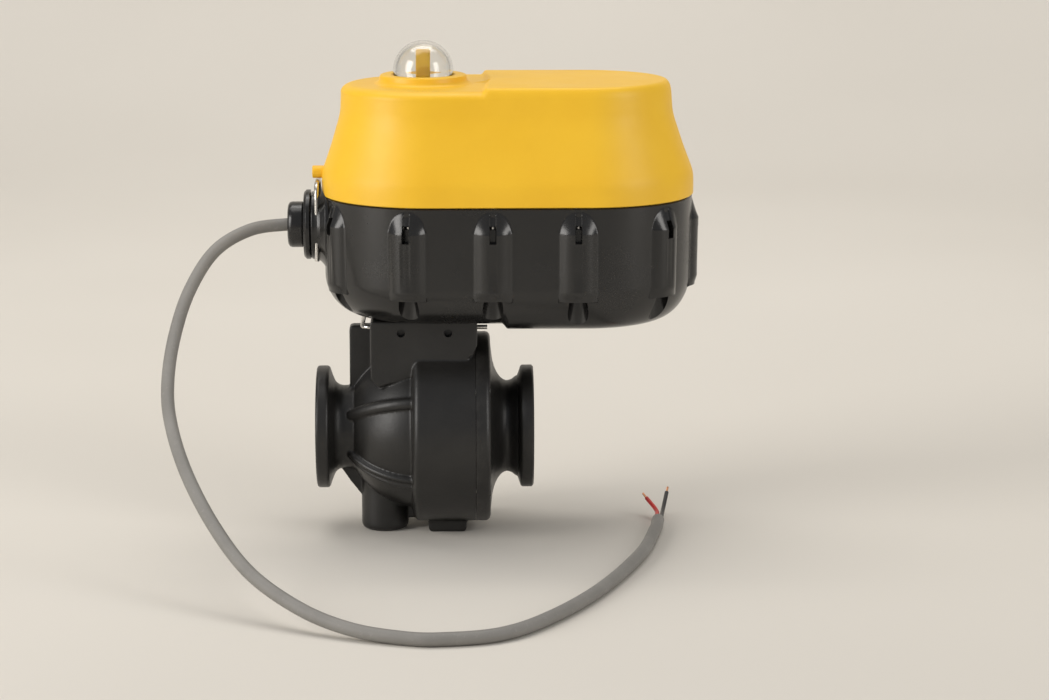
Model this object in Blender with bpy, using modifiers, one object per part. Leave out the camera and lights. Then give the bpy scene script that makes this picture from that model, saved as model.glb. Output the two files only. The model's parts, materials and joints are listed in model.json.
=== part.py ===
"""Motorised ball valve: a moulded valve body with two clamp flanges under a geared actuator.

Lengths in the tables and calls below are millimetres, measured from the point where the stem
axis crosses the flow axis. Objects are placed in metres, with the origin of the part at the
centre of the inlet flange face, +X along the flow and +Z up the stem.
"""
import math

import bmesh
import bpy
from mathutils import Matrix, Vector

MM = 0.001
STEM_X = 54.0            # inlet flange face to stem axis
FLOOR_Z = -52.0          # underside of the feet
GAP = 0.3                # running and assembly clearance

# Valve
FLANGE_R = 30.6
BORE_R = 15.875
BALL_R = 24.0
SHELL_R = 41.0
CAN_R = 47.5
SEAT_R = 21.5
STEM_R = 6.1
YOKE_TOP = 58.4
YOKE_Y = 27.5

# Actuator
LEFT_C, RIGHT_C = 3.5, 79.4      # centres of the two rounded ends, along X
BASE_R, COVER_R = 53.2, 53.8     # half widths of base and cover at the seam
BASE_BOTTOM, SEAM_Z, COVER_TOP = 58.7, 118.0, 173.0
SCREW_R = 49.2                   # cover screws, measured like the half widths
SCREW_TURNS = (-61.6, -12.3, 45.8, 90.0)
SCREW_STRAIGHT = (33.5, 74.6)
GLAND_Z = 102.6
CLIP_Z = 54.0

# Gears: teeth and modules
OUT_TEETH, OUT_MODULE = 48, 1.25
MID_TEETH, MID_MODULE = 40, 1.0
OUT_PINION, MID_PINION = 12, 10
IDLER_X = OUT_MODULE * (OUT_TEETH + OUT_PINION) / 2
MOTOR_X = IDLER_X + MID_MODULE * (MID_TEETH + MID_PINION) / 2

# Cable
CABLE_R = 3.15
CORE_R = 1.05
CABLE_ROUTE = (
    (-46.5, 0.0, 102.6), (-56.0, 0.0, 102.6), (-68.0, 0.0, 102.5), (-86.0, -4.0, 100.4),
    (-102.6, -14.0, 91.6), (-113.9, -30.0, 75.1), (-120.0, -48.0, 56.3),
    (-122.1, -66.0, 37.9), (-119.8, -84.0, 22.3), (-111.1, -108.0, 3.7),
    (-96.2, -136.0, -15.6), (-77.9, -162.0, -31.5), (-54.4, -184.0, -42.0),
    (-31.7, -198.5, -47.2), (-9.0, -207.5, -48.7), (8.3, -210.2, -48.7),
    (34.7, -203.0, -48.7), (57.5, -177.3, -48.7), (82.0, -131.5, -48.7),
    (104.2, -69.7, -48.7), (114.4, -22.1, -48.7), (117.2, -2.2, -48.7),
)

for leftover in list(bpy.data.objects):
    bpy.data.objects.remove(leftover, do_unlink=True)

scene = bpy.context.scene
scene.unit_settings.system = "METRIC"
PARTS = bpy.data.collections.new("motorised_ball_valve")
CUTTERS = bpy.data.collections.new("cutters")
scene.collection.children.link(PARTS)
scene.collection.children.link(CUTTERS)
CUTTERS.hide_render = True


# ---------------------------------------------------------------- materials
def material(name, rgb, roughness, metallic=0.0, alpha=1.0):
    mat = bpy.data.materials.new(name)
    mat.use_nodes = True
    shader = mat.node_tree.nodes["Principled BSDF"]
    shader.inputs["Base Color"].default_value = (*rgb, 1.0)
    shader.inputs["Roughness"].default_value = roughness
    shader.inputs["Metallic"].default_value = metallic
    shader.inputs["Alpha"].default_value = alpha
    mat.diffuse_color = (*rgb, alpha)
    return mat


GLASS_FILLED = material("glass_filled_nylon", (0.020, 0.019, 0.018), 0.42)
HOUSING = material("black_housing", (0.016, 0.016, 0.016), 0.34)
YELLOW = material("yellow_cover", (0.86, 0.45, 0.02), 0.5)
CLEAR = material("clear_window", (0.86, 0.86, 0.83), 0.08, alpha=0.35)
STEEL = material("stainless_steel", (0.62, 0.61, 0.59), 0.25, 1.0)
BRASS = material("brass", (0.72, 0.53, 0.22), 0.3, 1.0)
ALLOY = material("aluminium_plate", (0.7, 0.7, 0.71), 0.4, 1.0)
SEAT = material("white_seat", (0.82, 0.82, 0.80), 0.45)
RUBBER = material("black_rubber", (0.03, 0.03, 0.03), 0.75)
BUSHING = material("bearing_bronze", (0.55, 0.36, 0.16), 0.4, 1.0)
BOARD = material("circuit_board", (0.02, 0.18, 0.07), 0.5)
SWITCH = material("switch_case", (0.05, 0.05, 0.05), 0.4)
GREY_PVC = material("grey_cable_jacket", (0.30, 0.30, 0.30), 0.6)
RED_PVC = material("red_core", (0.55, 0.03, 0.03), 0.45)
BLACK_PVC = material("black_core", (0.015, 0.015, 0.015), 0.45)
WHITE_PVC = material("white_core", (0.78, 0.77, 0.74), 0.45)
COPPER = material("copper_strand", (0.72, 0.38, 0.2), 0.35, 1.0)


# ---------------------------------------------------------------- placing
def at(x, y, z):
    return Vector(((x + STEM_X) * MM, y * MM, z * MM))


def place(name, mesh, mat, origin=(0.0, 0.0, 0.0)):
    """Links a mesh or curve as a part, or as a helper when it has no material."""
    obj = bpy.data.objects.new(name, mesh)
    obj.location = at(*origin)
    if mat is None:
        CUTTERS.objects.link(obj)
        obj.hide_render = True
        obj.display_type = "WIRE"
    else:
        mesh.materials.append(mat)
        PARTS.objects.link(obj)
    return obj


def finish(name, bm, mat=None, origin=(0.0, 0.0, 0.0)):
    bmesh.ops.recalc_face_normals(bm, faces=bm.faces)
    bmesh.ops.translate(bm, verts=bm.verts, vec=-Vector(origin))
    bmesh.ops.scale(bm, verts=bm.verts, vec=(MM, MM, MM))
    mesh = bpy.data.meshes.new(name)
    bm.to_mesh(mesh)
    bm.free()
    return place(name, mesh, mat, origin)


# ---------------------------------------------------------------- shapes
def add_box(bm, x0, x1, y0, y1, z0, z1, edge=0.0, segments=2, along="xyz"):
    made = bmesh.ops.create_cube(bm, size=1.0)["verts"]
    bmesh.ops.scale(bm, verts=made, vec=(x1 - x0, y1 - y0, z1 - z0))
    centre = Vector((x0 + x1, y0 + y1, z0 + z1)) / 2
    bmesh.ops.translate(bm, verts=made, vec=centre)
    if edge:
        edges = []
        for candidate in {e for v in made for e in v.link_edges}:
            run = candidate.verts[1].co - candidate.verts[0].co
            axis = max(range(3), key=lambda i: abs(run[i]))
            if "xyz"[axis] in along:
                edges.append(candidate)
        bmesh.ops.bevel(bm, geom=edges, offset=edge, segments=segments, profile=0.5,
                        affect="EDGES", clamp_overlap=True)


def add_rod(bm, start, end, radius, sides=16):
    start, end = Vector(start), Vector(end)
    run = end - start
    turn = Vector((0, 0, 1)).rotation_difference(run).to_matrix().to_4x4()
    bmesh.ops.create_cone(bm, cap_ends=True, segments=sides, radius1=radius, radius2=radius,
                          depth=run.length, matrix=Matrix.Translation((start + end) / 2) @ turn)


def add_loft(bm, rings):
    """A skin through rings that hold the same number of points, closed by a flat face at each end."""
    rows = [[bm.verts.new(p) for p in ring] for ring in rings]
    count = len(rows[0])
    for lower, upper in zip(rows, rows[1:]):
        for i in range(count):
            j = (i + 1) % count
            bm.faces.new((lower[i], lower[j], upper[j], upper[i]))
    bm.faces.new(rows[0])
    bm.faces.new(rows[-1])


def rod(name, start, end, radius, mat=None, sides=16, origin=(0.0, 0.0, 0.0)):
    bm = bmesh.new()
    add_rod(bm, start, end, radius, sides)
    return finish(name, bm, mat, origin)


def box(name, *sides, mat=None, origin=(0.0, 0.0, 0.0), **edges):
    bm = bmesh.new()
    add_box(bm, *sides, **edges)
    return finish(name, bm, mat, origin)


def turned(name, profile, axis="Z", mat=None, steps=40, origin=(0.0, 0.0, 0.0)):
    """A (radius, height) profile turned about an axis through the origin point.

    A profile that starts and ends on the axis is solid, and any other one is a closed ring.
    """
    pairs = zip(profile, profile[1:] + profile[:1])
    if sum(r0 * h1 - r1 * h0 for (r0, h0), (r1, h1) in pairs) > 0:
        profile = profile[::-1]
    solid = profile[0][0] == 0
    count = len(profile)
    ends = [(i, i + 1) for i in range(count - 1)]
    if not solid:
        ends.append((count - 1, 0))
    mesh = bpy.data.meshes.new(name)
    mesh.from_pydata([(r * MM, 0.0, h * MM) for r, h in profile], ends, [])
    obj = place(name, mesh, mat, origin)
    if axis == "X":
        obj.rotation_euler = (0.0, math.pi / 2, 0.0)
    elif axis == "Y":
        obj.rotation_euler = (-math.pi / 2, 0.0, 0.0)
    screw = obj.modifiers.new("turn", "SCREW")
    screw.axis = "Z"
    screw.steps = screw.render_steps = steps
    screw.use_merge_vertices = True
    screw.merge_threshold = 0.00001
    screw.use_smooth_shade = True
    return obj


def combine(target, operation, *others):
    for other in others:
        modifier = target.modifiers.new(operation.lower(), "BOOLEAN")
        modifier.operation = operation
        modifier.solver = "EXACT"
        modifier.object = other
    return target


def arc(cx, cy, radius, first, last, steps):
    """Points (u, v) on an arc between two angles in degrees."""
    angles = [math.radians(first + (last - first) * i / steps) for i in range(steps + 1)]
    return [(cx + radius * math.cos(a), cy + radius * math.sin(a)) for a in angles]


def stadium(offset, z, arc_steps=14, left=None, shift=0.0):
    """Plan outline of the actuator at a height, or only its right end beyond x = left."""
    turns = [math.pi * i / arc_steps for i in range(arc_steps + 1)]
    points = [(RIGHT_C + shift + offset * math.sin(a), -offset * math.cos(a), z) for a in turns]
    if left is None:
        points += [(LEFT_C + shift - offset * math.sin(a), offset * math.cos(a), z)
                   for a in turns]
    else:
        points += [(left, offset, z), (left, -offset, z)]
    return points


def stations():
    """Each cover screw as (x, y, outward x, outward y)."""
    found = []
    for side in (-1, 1):
        for x in SCREW_STRAIGHT:
            found.append((x, side * SCREW_R, 0.0, float(side)))
        for turn in SCREW_TURNS[:3]:
            centre = LEFT_C if turn < 0 else RIGHT_C
            out = (math.sin(math.radians(turn)), side * math.cos(math.radians(turn)))
            found.append((centre + SCREW_R * out[0], SCREW_R * out[1], *out))
    found.append((RIGHT_C + SCREW_R, 0.0, 1.0, 0.0))
    return found


def smooth_route(points, spacing):
    """Evenly spaced points along a smooth curve through the given ones."""
    points = [Vector(p) for p in points]
    ends = [2 * points[0] - points[1]] + points + [2 * points[-1] - points[-2]]
    dense = []
    for a, b, c, d in zip(ends, ends[1:], ends[2:], ends[3:]):
        for i in range(24):
            t = i / 24
            dense.append(0.5 * (2 * b + (c - a) * t + (2 * a - 5 * b + 4 * c - d) * t * t
                                + (3 * b - a - 3 * c + d) * t ** 3))
    dense.append(points[-1])
    lengths = [0.0]
    for a, b in zip(dense, dense[1:]):
        lengths.append(lengths[-1] + (b - a).length)
    count = max(2, round(lengths[-1] / spacing))
    even, j = [], 0
    for i in range(count + 1):
        goal = lengths[-1] * i / count
        while j < len(dense) - 2 and lengths[j + 1] < goal:
            j += 1
        share = (goal - lengths[j]) / (lengths[j + 1] - lengths[j])
        even.append(dense[j].lerp(dense[j + 1], share))
    return even


def rounded_path(points, radius, steps=4):
    """A polyline whose inner corners are turned into bends."""
    points = [Vector(p) for p in points]
    path = [points[0]]
    for before, corner, after in zip(points, points[1:], points[2:]):
        start = corner + (before - corner).normalized() * radius
        end = corner + (after - corner).normalized() * radius
        for i in range(steps + 1):
            t = i / steps
            path.append(start * (1 - t) ** 2 + corner * 2 * t * (1 - t) + end * t ** 2)
    path.append(points[-1])
    return path


def wire(name, points, radius, mat, resolution=2):
    curve = bpy.data.curves.new(name, "CURVE")
    curve.dimensions = "3D"
    curve.bevel_depth = radius * MM
    curve.bevel_resolution = resolution
    curve.use_fill_caps = True
    spline = curve.splines.new("POLY")
    spline.points.add(len(points) - 1)
    for point, co in zip(spline.points, points):
        point.co = (*(at(*co) - at(0, 0, 0)), 1.0)
    return place(name, curve, mat)


def add_gear(bm, teeth, module, z0, z1, centre, phase):
    """Straight-sided teeth, thinned for backlash, between two heights."""
    pitch = module * teeth / 2
    root, tip = pitch - 1.2 * module, pitch + 0.8 * module
    outline = []
    for tooth in range(teeth):
        for radius, share in ((root, -0.29), (tip, -0.10), (tip, 0.10), (root, 0.29)):
            angle = math.radians(phase) + math.tau * (tooth + share) / teeth
            outline.append((centre + radius * math.cos(angle), radius * math.sin(angle)))
    add_loft(bm, [[(x, y, z) for x, y in outline] for z in (z0, z1)])


# ---------------------------------------------------------------- valve body
def flange_profile(direction):
    """From the outer face of a flange back to its neck, as (radius, x)."""
    neck = 20.7 if direction < 0 else 22.8
    steps = [(29.9, 54.0), (FLANGE_R, 53.3), (FLANGE_R, 48.6), (27.6, 46.9), (25.0, 46.2),
             (neck + 1.4, 44.6), (neck + 0.2, 42.6), (neck, 41.0)]
    return [(r, direction * x) for r, x in steps]


def make_valve_body():
    shell = arc(0.0, 0.0, SHELL_R, 149.0, 99.0, 4)
    profile = [(0.0, -54.0)] + flange_profile(-1) + [(20.9, -38.0)]
    profile += [(v, u) for u, v in shell]
    profile += [(44.6, -5.6), (46.6, -4.9), (CAN_R, -3.2), (CAN_R, 25.6), (0.0, 25.6)]
    body = turned("valve_body", profile, "X", GLASS_FILLED, steps=30)

    yoke = bmesh.new()
    outline = [(-26.5, YOKE_TOP), (26.0, YOKE_TOP), (26.0, 46.5), (24.0, 41.8), (19.9, 38.5),
               (8.0, 34.0), (-5.0, 31.6), (-22.8, 25.2), (-26.5, 29.5)]
    add_loft(yoke, [[(x, y, z) for x, z in outline] for y in (-YOKE_Y, YOKE_Y)])
    sides = [e for e in yoke.edges
             if abs(e.verts[0].co.x + 26.5) < 0.1 and abs(e.verts[1].co.x + 26.5) < 0.1
             and abs(e.verts[0].co.y - e.verts[1].co.y) < 0.1]
    bmesh.ops.bevel(yoke, geom=sides, offset=5.5, segments=3, profile=0.5, affect="EDGES")
    yoke = finish("yoke_block", yoke)

    web = bmesh.new()
    outline = [(-37.5, 50.6), (-36.0, 52.1), (-20.0, 52.1), (-20.0, 20.0), (-37.5, 12.0)]
    add_loft(web, [[(x, y, z) for x, z in outline] for y in (-4.0, 4.0)])
    web = finish("yoke_web", web)

    boss = turned("floor_boss", [(0.0, -25.0), (11.75, -25.0), (11.75, -49.5), (11.0, -51.3),
                                 (9.2, FLOOR_Z), (0.0, FLOOR_Z)], steps=24,
                  origin=(-20.5, 0.0, 0.0))
    foot = box("floor_foot", 1.5, 20.5, -11.5, 11.5, FLOOR_Z, -41.0, edge=2.2)
    gusset = bmesh.new()
    outline = [(-43.0, -16.0), (-22.0, -16.0), (-22.0, -44.0), (-31.0, -36.0), (-38.0, -27.0),
               (-43.0, -19.5)]
    add_loft(gusset, [[(x, y, z) for x, z in outline] for y in (-3.0, 3.0)])
    gusset = finish("boss_gusset", gusset)
    bridge = box("boss_bridge", -12.0, 0.0, -4.0, 4.0, -46.5, -34.0)

    beads = []
    for n, turn in enumerate((28.0, 152.0, -30.0, -150.0)):
        outward = Vector((0.0, -math.cos(math.radians(turn)), math.sin(math.radians(turn))))
        side = Vector((1.0, 0.0, 0.0)).cross(outward)
        rings = []
        for k in range(5):
            along = math.radians(28.0 + (84.0 - 28.0) * k / 4)
            radial = outward * math.sin(along) - Vector((math.cos(along), 0.0, 0.0))
            ring = []
            for i in range(6):
                a = math.tau * (i + 0.5) / 6
                ring.append(radial * (SHELL_R + 3.3 * math.cos(a)) + side * 3.3 * math.sin(a))
            rings.append(ring)
        bead = bmesh.new()
        add_loft(bead, rings)
        beads.append(finish(f"shell_rib_{n + 1}", bead))
    combine(body, "UNION", yoke, web, boss, foot, gusset, bridge, *beads)

    clearance = turned("end_cap_clearance", [(0.0, 25.0), (CAN_R + 0.4, 25.0),
                                             (CAN_R + 0.4, 60.0), (0.0, 60.0)], "X", steps=30)
    passage = turned("flow_passage", [(0.0, -55.0), (BORE_R, -55.0), (BORE_R, -24.0),
                                      (SEAT_R + GAP, -24.0), (SEAT_R + GAP, -12.0),
                                      (26.0, -12.0), (26.0, 26.0), (0.0, 26.0)], "X", steps=32)
    socket = turned("stem_bore", [(0.0, 20.0), (8.2, 20.0), (8.2, 30.0), (6.5, 30.0),
                                  (6.5, 47.0), (22.0, 47.0), (22.0, 60.0), (0.0, 60.0)],
                    steps=24)
    holes = bmesh.new()
    for y in (-18.5, 18.5):
        add_rod(holes, (-30.0, y, CLIP_Z), (30.0, y, CLIP_Z), 1.45, 10)
    for x in (-11.4, 11.7):
        for side in (-1, 1):
            add_rod(holes, (x, side * 29.0, 52.6), (x, side * 23.6, 52.6), 2.05, 12)
    for x, z in end_screw_places():
        add_rod(holes, (12.0, x, z), (26.0, x, z), 2.05, 10)
    combine(body, "DIFFERENCE", clearance, passage, socket, finish("body_holes", holes))


def end_screw_places():
    return [(43.3 * math.cos(math.radians(a)), 43.3 * math.sin(math.radians(a)))
            for a in (35.0, 145.0, 215.0, 325.0)]


def make_end_cap():
    bell = [(22.8 + 17.2 * (1 - math.cos(a)), 41.2 - 8.2 * math.sin(a))
            for a in (math.radians(t) for t in (25, 50, 75))]
    profile = [(BORE_R, 54.0)] + flange_profile(1) + bell
    profile += [(41.0, 32.7), (46.2, 32.5), (CAN_R, 31.0), (CAN_R, 25.3), (31.3, 25.3),
                (31.3, 27.3), (27.7, 27.3), (27.7, 25.3), (25.7, 25.3), (25.7, 12.3),
                (SEAT_R + GAP, 12.3), (SEAT_R + GAP, 24.0), (BORE_R, 24.0)]
    cap = turned("end_cap", profile, "X", GLASS_FILLED, steps=30)
    cap_holes = []
    for y, z in end_screw_places():
        shank = rod("cap_shank_hole", (24.0, y, z), (34.0, y, z), 2.05, sides=10)
        head = rod("cap_head_hole", (29.2, y, z), (34.0, y, z), 2.95, sides=12)
        cap_holes += [shank, head]
    combine(cap, "DIFFERENCE", *cap_holes)
    for n, (y, z) in enumerate(end_screw_places()):
        screw_profile = [(0.0, 12.6), (1.75, 12.6), (1.75, 29.5), (2.6, 29.5), (2.6, 32.2),
                         (0.0, 32.2)]
        turned(f"end_cap_screw_{n + 1}", screw_profile, "X", STEEL, steps=10,
               origin=(0.0, y, z))
    ring = [(29.5 + u, 26.15 + v) for u, v in arc(0.0, 0.0, 0.85, 0.0, 300.0, 5)]
    turned("body_seal", ring, "X", RUBBER, steps=28)


def make_ball_and_stem():
    sphere = [(v, u) for u, v in arc(0.0, 0.0, BALL_R, 180.0, 0.0, 12)]
    sphere[0], sphere[-1] = (0.0, -BALL_R), (0.0, BALL_R)
    ball = turned("ball", sphere, "Z", STEEL, steps=24)
    waterway = rod("ball_waterway", (0.0, -30.0, 0.0), (0.0, 30.0, 0.0), BORE_R, sides=24)
    slot = box("stem_slot", -30.0, 30.0, -2.6, 2.6, 18.6, 30.0)
    combine(ball, "DIFFERENCE", waterway, slot)

    clear = BALL_R + GAP
    for name, side in (("seat_inlet", -1), ("seat_outlet", 1)):
        lip = [(r, -math.sqrt(clear ** 2 - r ** 2)) for r in (20.6, 19.2, 17.8, 16.2)]
        ring = [(16.2, -23.7), (SEAT_R, -23.7), (SEAT_R, -14.4)] + lip
        turned(name, [(r, side * -x) for r, x in ring], "X", SEAT, steps=24)

    stem = turned("stem", [(0.0, 24.6), (7.9, 24.6), (7.9, 29.7), (STEM_R, 29.7), (STEM_R, 33.0),
                           (4.3, 33.0), (4.3, 36.0), (STEM_R, 36.0), (STEM_R, 39.5),
                           (4.3, 39.5), (4.3, 42.5), (STEM_R, 42.5), (STEM_R, 46.5),
                           (0.0, 46.5)], "Z", STEEL, steps=20)
    tang = box("stem_tang", -6.5, 6.5, -2.2, 2.2, 19.0, 25.5)
    drive = box("stem_drive", -4.2, 4.2, -4.2, 4.2, 45.5, 60.0, edge=0.6, segments=1,
                along="z")
    combine(stem, "UNION", tang, drive)
    for name, z in (("stem_seal_lower", 34.5), ("stem_seal_upper", 41.0)):
        turned(name, [(5.4 + u, z + v) for u, v in arc(0.0, 0.0, 0.8, 0.0, 288.0, 4)], "Z",
               RUBBER, steps=16)

    clip = rounded_path(((31.0, -18.5, CLIP_Z), (-30.6, -18.5, CLIP_Z), (-30.6, 18.5, CLIP_Z),
                         (31.0, 18.5, CLIP_Z)), 5.0)
    wire("actuator_clip", clip, 1.1, STEEL)


# ---------------------------------------------------------------- actuator housing
def rounding(bottom, top_offset, radius, steps, left=None, slope=0.0):
    """Rings from a flat underside round its lower edge to a wall."""
    rings = []
    for k in range(steps + 1):
        a = math.radians(90.0 * k / steps)
        lift = radius * (1 - math.cos(a))
        edge = None if left is None else left - slope * lift
        rings.append(stadium(top_offset - radius * (1 - math.sin(a)), bottom + lift, left=edge))
    return rings


def make_base():
    shell = bmesh.new()
    add_loft(shell, rounding(BASE_BOTTOM, 52.6, 20.0, 4) + [stadium(BASE_R, SEAM_Z)])
    base = finish("actuator_base", shell, HOUSING)

    deep = bmesh.new()
    rings = rounding(56.0, 52.6, 20.0, 4, left=39.5, slope=1.2)[:4]
    add_loft(deep, rings + [stadium(52.2, 78.0, left=22.0)])
    deep = finish("deep_end", deep)

    pilasters = bmesh.new()
    outline = ((49.5, 111.4), (54.6, 111.4), (56.3, 108.2), (56.2, 75.0), (52.0, 66.4),
               (45.5, 64.6))
    for x, y, out_x, out_y in stations():
        rings = []
        for side, inset in ((-8.8, 2.2), (-6.4, 0.0), (6.4, 0.0), (8.8, 2.2)):
            ring = []
            for reach, z in outline:
                reach -= SCREW_R + (inset if reach > 50.0 else 0.0)
                ring.append((x + out_x * reach - out_y * side, y + out_y * reach + out_x * side,
                             z))
            rings.append(ring)
        add_loft(pilasters, rings)
    pilasters = finish("pilasters", pilasters)

    gland_boss = turned("gland_boss", [(0.0, -55.7), (16.5, -55.7), (17.25, -55.0),
                                       (17.25, -50.5), (18.6, -47.0), (18.6, -44.0),
                                       (0.0, -44.0)], "X", steps=24, origin=(0, 0, GLAND_Z))
    combine(gland_boss, "DIFFERENCE", box("boss_relief", -50.8, -40.0, -25.0, 25.0, 117.4, 130.0))
    spigot = rod("yoke_spigot", (0, 0, 47.4), (0, 0, 61.0), 21.7, sides=24)
    combine(base, "UNION", pilasters, gland_boss, spigot, deep)

    cavity = bmesh.new()
    add_loft(cavity, rounding(63.0, 49.8, 17.0, 3) + [stadium(49.8, 110.0)])
    mouth = bmesh.new()
    add_loft(mouth, [stadium(44.3, 100.0), stadium(44.3, 120.0)])
    combine(base, "DIFFERENCE", finish("base_cavity", cavity), finish("base_mouth", mouth))

    columns = bmesh.new()
    for x, y, *_ in stations():
        add_rod(columns, (x, y, 69.0), (x, y, 112.0), 2.9, 9)
    posts = bmesh.new()
    for x, y in plate_posts():
        add_rod(posts, (x, y, 61.0), (x, y, 87.7), 3.6, 10)
    for x, y in board_posts():
        add_rod(posts, (x, y, 61.0), (x, y, 97.7), 2.6, 8)
    combine(base, "UNION", finish("screw_columns", columns), finish("inner_posts", posts))

    drill = bmesh.new()
    pocket = bmesh.new()
    slots = bmesh.new()
    channels = bmesh.new()
    for x, y, out_x, out_y in stations():
        add_rod(drill, (x, y, 60.0), (x, y, 120.0), 2.3, 8)
        add_rod(pocket, (x, y, 50.0), (x, y, 71.5), 4.1, 10)
        facing = Matrix.Translation((x, y, 0.0)) @ Matrix.Rotation(math.atan2(out_y, out_x), 4,
                                                                   "Z")
        for mesh, cut in ((slots, (0.6, 12.0, -1.25, 1.25, 97.0, 109.5)),
                          (channels, (5.2, 12.0, -2.3, 2.3, 60.0, 104.0))):
            before = len(mesh.verts)
            add_box(mesh, *cut)
            bmesh.ops.transform(mesh, verts=list(mesh.verts)[before:], matrix=facing)
    passage = turned("cable_passage", [(0.0, -56.5), (15.2, -56.5), (15.2, -48.7),
                                       (9.0, -48.7), (9.0, -40.0), (0.0, -40.0)], "X",
                     steps=20, origin=(0, 0, GLAND_Z))
    shaft_hole = rod("shaft_hole", (0, 0, 46.0), (0, 0, 66.0), 11.8, sides=24)
    clips = bmesh.new()
    for y in (-18.5, 18.5):
        add_rod(clips, (-30.0, y, CLIP_Z), (30.0, y, CLIP_Z), 1.45, 10)
    for y in (-14.6, 14.6):
        add_rod(clips, (-52.5, y, 80.0), (-52.5, y, 118.5), 1.5, 10)
    groove = bmesh.new()
    add_loft(groove, [stadium(46.4, 115.8), stadium(46.4, 119.0)])
    combine(base, "DIFFERENCE", finish("screw_drill", drill), finish("screw_pockets", pocket),
            finish("rib_channels", channels), finish("rib_slots", slots), passage,
            shaft_hole, finish("clip_drill", clips), finish("seal_groove", groove))


def make_gasket():
    strip = bmesh.new()
    add_loft(strip, [stadium(46.1, 116.1), stadium(46.1, SEAM_Z)])
    hole = bmesh.new()
    add_loft(hole, [stadium(44.6, 115.0), stadium(44.6, 119.0)])
    combine(finish("housing_gasket", strip, RUBBER), "DIFFERENCE",
            finish("gasket_opening", hole))


def make_cover():
    bottom = SEAM_Z + GAP
    shell = bmesh.new()
    add_loft(shell, [stadium(COVER_R, bottom), stadium(53.4, 129.8),
                     stadium(46.6, 149.8, shift=-0.4), stadium(43.9, 158.8, shift=-0.5),
                     stadium(43.3, 168.6, shift=-0.7), stadium(41.6, 171.8, shift=-0.8),
                     stadium(37.0, COVER_TOP, shift=-0.8)])
    cover = finish("actuator_cover", shell, YELLOW)
    plateau = bmesh.new()
    add_loft(plateau, [stadium(37.6, 171.0, left=28.5), stadium(36.6, 173.6, left=30.0),
                       stadium(34.8, 174.5, left=32.0)])
    ring = turned("window_ring", [(0.0, 171.0), (21.4, 171.0), (21.4, 176.2), (20.6, 177.0),
                                  (0.0, 177.0)], steps=36)
    nub = turned("clip_stop", [(0.0, -55.0), (2.5, -55.0), (3.1, -54.3), (3.1, -46.0),
                               (0.0, -46.0)], "X", steps=14, origin=(0, 0, 128.8))
    combine(cover, "UNION", finish("raised_panel", plateau), ring, nub)

    inner = bmesh.new()
    add_loft(inner, [stadium(50.9, 124.0), stadium(50.6, 129.4),
                     stadium(43.8, 149.2, shift=-0.4), stadium(41.2, 158.0, shift=-0.5),
                     stadium(40.4, 165.0, shift=-0.7), stadium(36.0, 170.2, shift=-0.8)])
    mouth = bmesh.new()
    add_loft(mouth, [stadium(44.3, 117.0), stadium(44.3, 126.0)])
    combine(cover, "DIFFERENCE", finish("cover_cavity", inner), finish("cover_mouth", mouth))
    bosses = bmesh.new()
    holes = bmesh.new()
    for x, y, *_ in stations():
        add_rod(bosses, (x, y, 122.0), (x, y, 130.6), 3.2, 8)
        add_rod(holes, (x, y, 117.0), (x, y, 129.6), 2.3, 8)
    window = turned("window_recess", [(0.0, 165.0), (7.0, 165.0), (7.0, 174.4), (15.1, 174.4),
                                      (15.1, 178.0), (0.0, 178.0)], steps=24)
    combine(cover, "UNION", finish("cover_bosses", bosses))
    combine(cover, "DIFFERENCE", finish("cover_holes", holes), window)


def make_window():
    outer = [(14.75 * math.cos(a), 179.0 + 14.6 * math.sin(a))
             for a in (math.radians(t) for t in (0, 25, 50, 72, 90))]
    inner = [(12.9 * math.cos(a), 179.0 + 12.8 * math.sin(a))
             for a in (math.radians(t) for t in (90, 72, 50, 25, 0))]
    profile = [(0.0, 193.6)] + outer[:-1][::-1] + [(14.75, 174.7), (12.9, 174.7)]
    profile += inner[1:][::-1] + [(0.0, 191.8)]
    turned("indicator_window", profile, "Z", CLEAR, steps=24)

    disc = turned("position_indicator", [(0.0, 175.0), (11.6, 175.0), (11.6, 176.6),
                                         (0.0, 176.6)], "Z", YELLOW, steps=24)
    bar = bmesh.new()
    outline = [(-10.6, 176.0), (10.6, 176.0), (10.6, 181.5), (4.0, 189.4), (-4.0, 189.4),
               (-10.6, 181.5)]
    add_loft(bar, [[(x, y, z) for y, z in outline] for x in (-3.5, 3.5)])
    hub = rod("indicator_bore", (0, 0, 173.0), (0, 0, 176.9), 4.8, sides=16)
    combine(disc, "UNION", finish("indicator_bar", bar))
    combine(disc, "DIFFERENCE", hub)
    turned("shaft_seal", [(6.7, 170.9), (6.7, 173.4), (6.3, 173.4), (6.3, 170.9)], "Z", RUBBER,
           steps=24)


def make_cover_screws():
    for n, (x, y, *_) in enumerate(stations()):
        turned(f"cover_screw_{n + 1:02d}",
               [(0.0, 68.4), (3.4, 68.4), (3.4, 71.2), (2.0, 71.2), (2.0, 129.2),
                (0.0, 129.2)], "Z", STEEL, steps=7, origin=(x, y, 0.0))


# ---------------------------------------------------------------- drive train
def plate_posts():
    return [(-21.0, -30.5), (-21.0, 30.5), (78.0, -28.0), (78.0, 28.0)]


def board_posts():
    return [(92.0, -22.0), (92.0, 22.0)]


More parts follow.
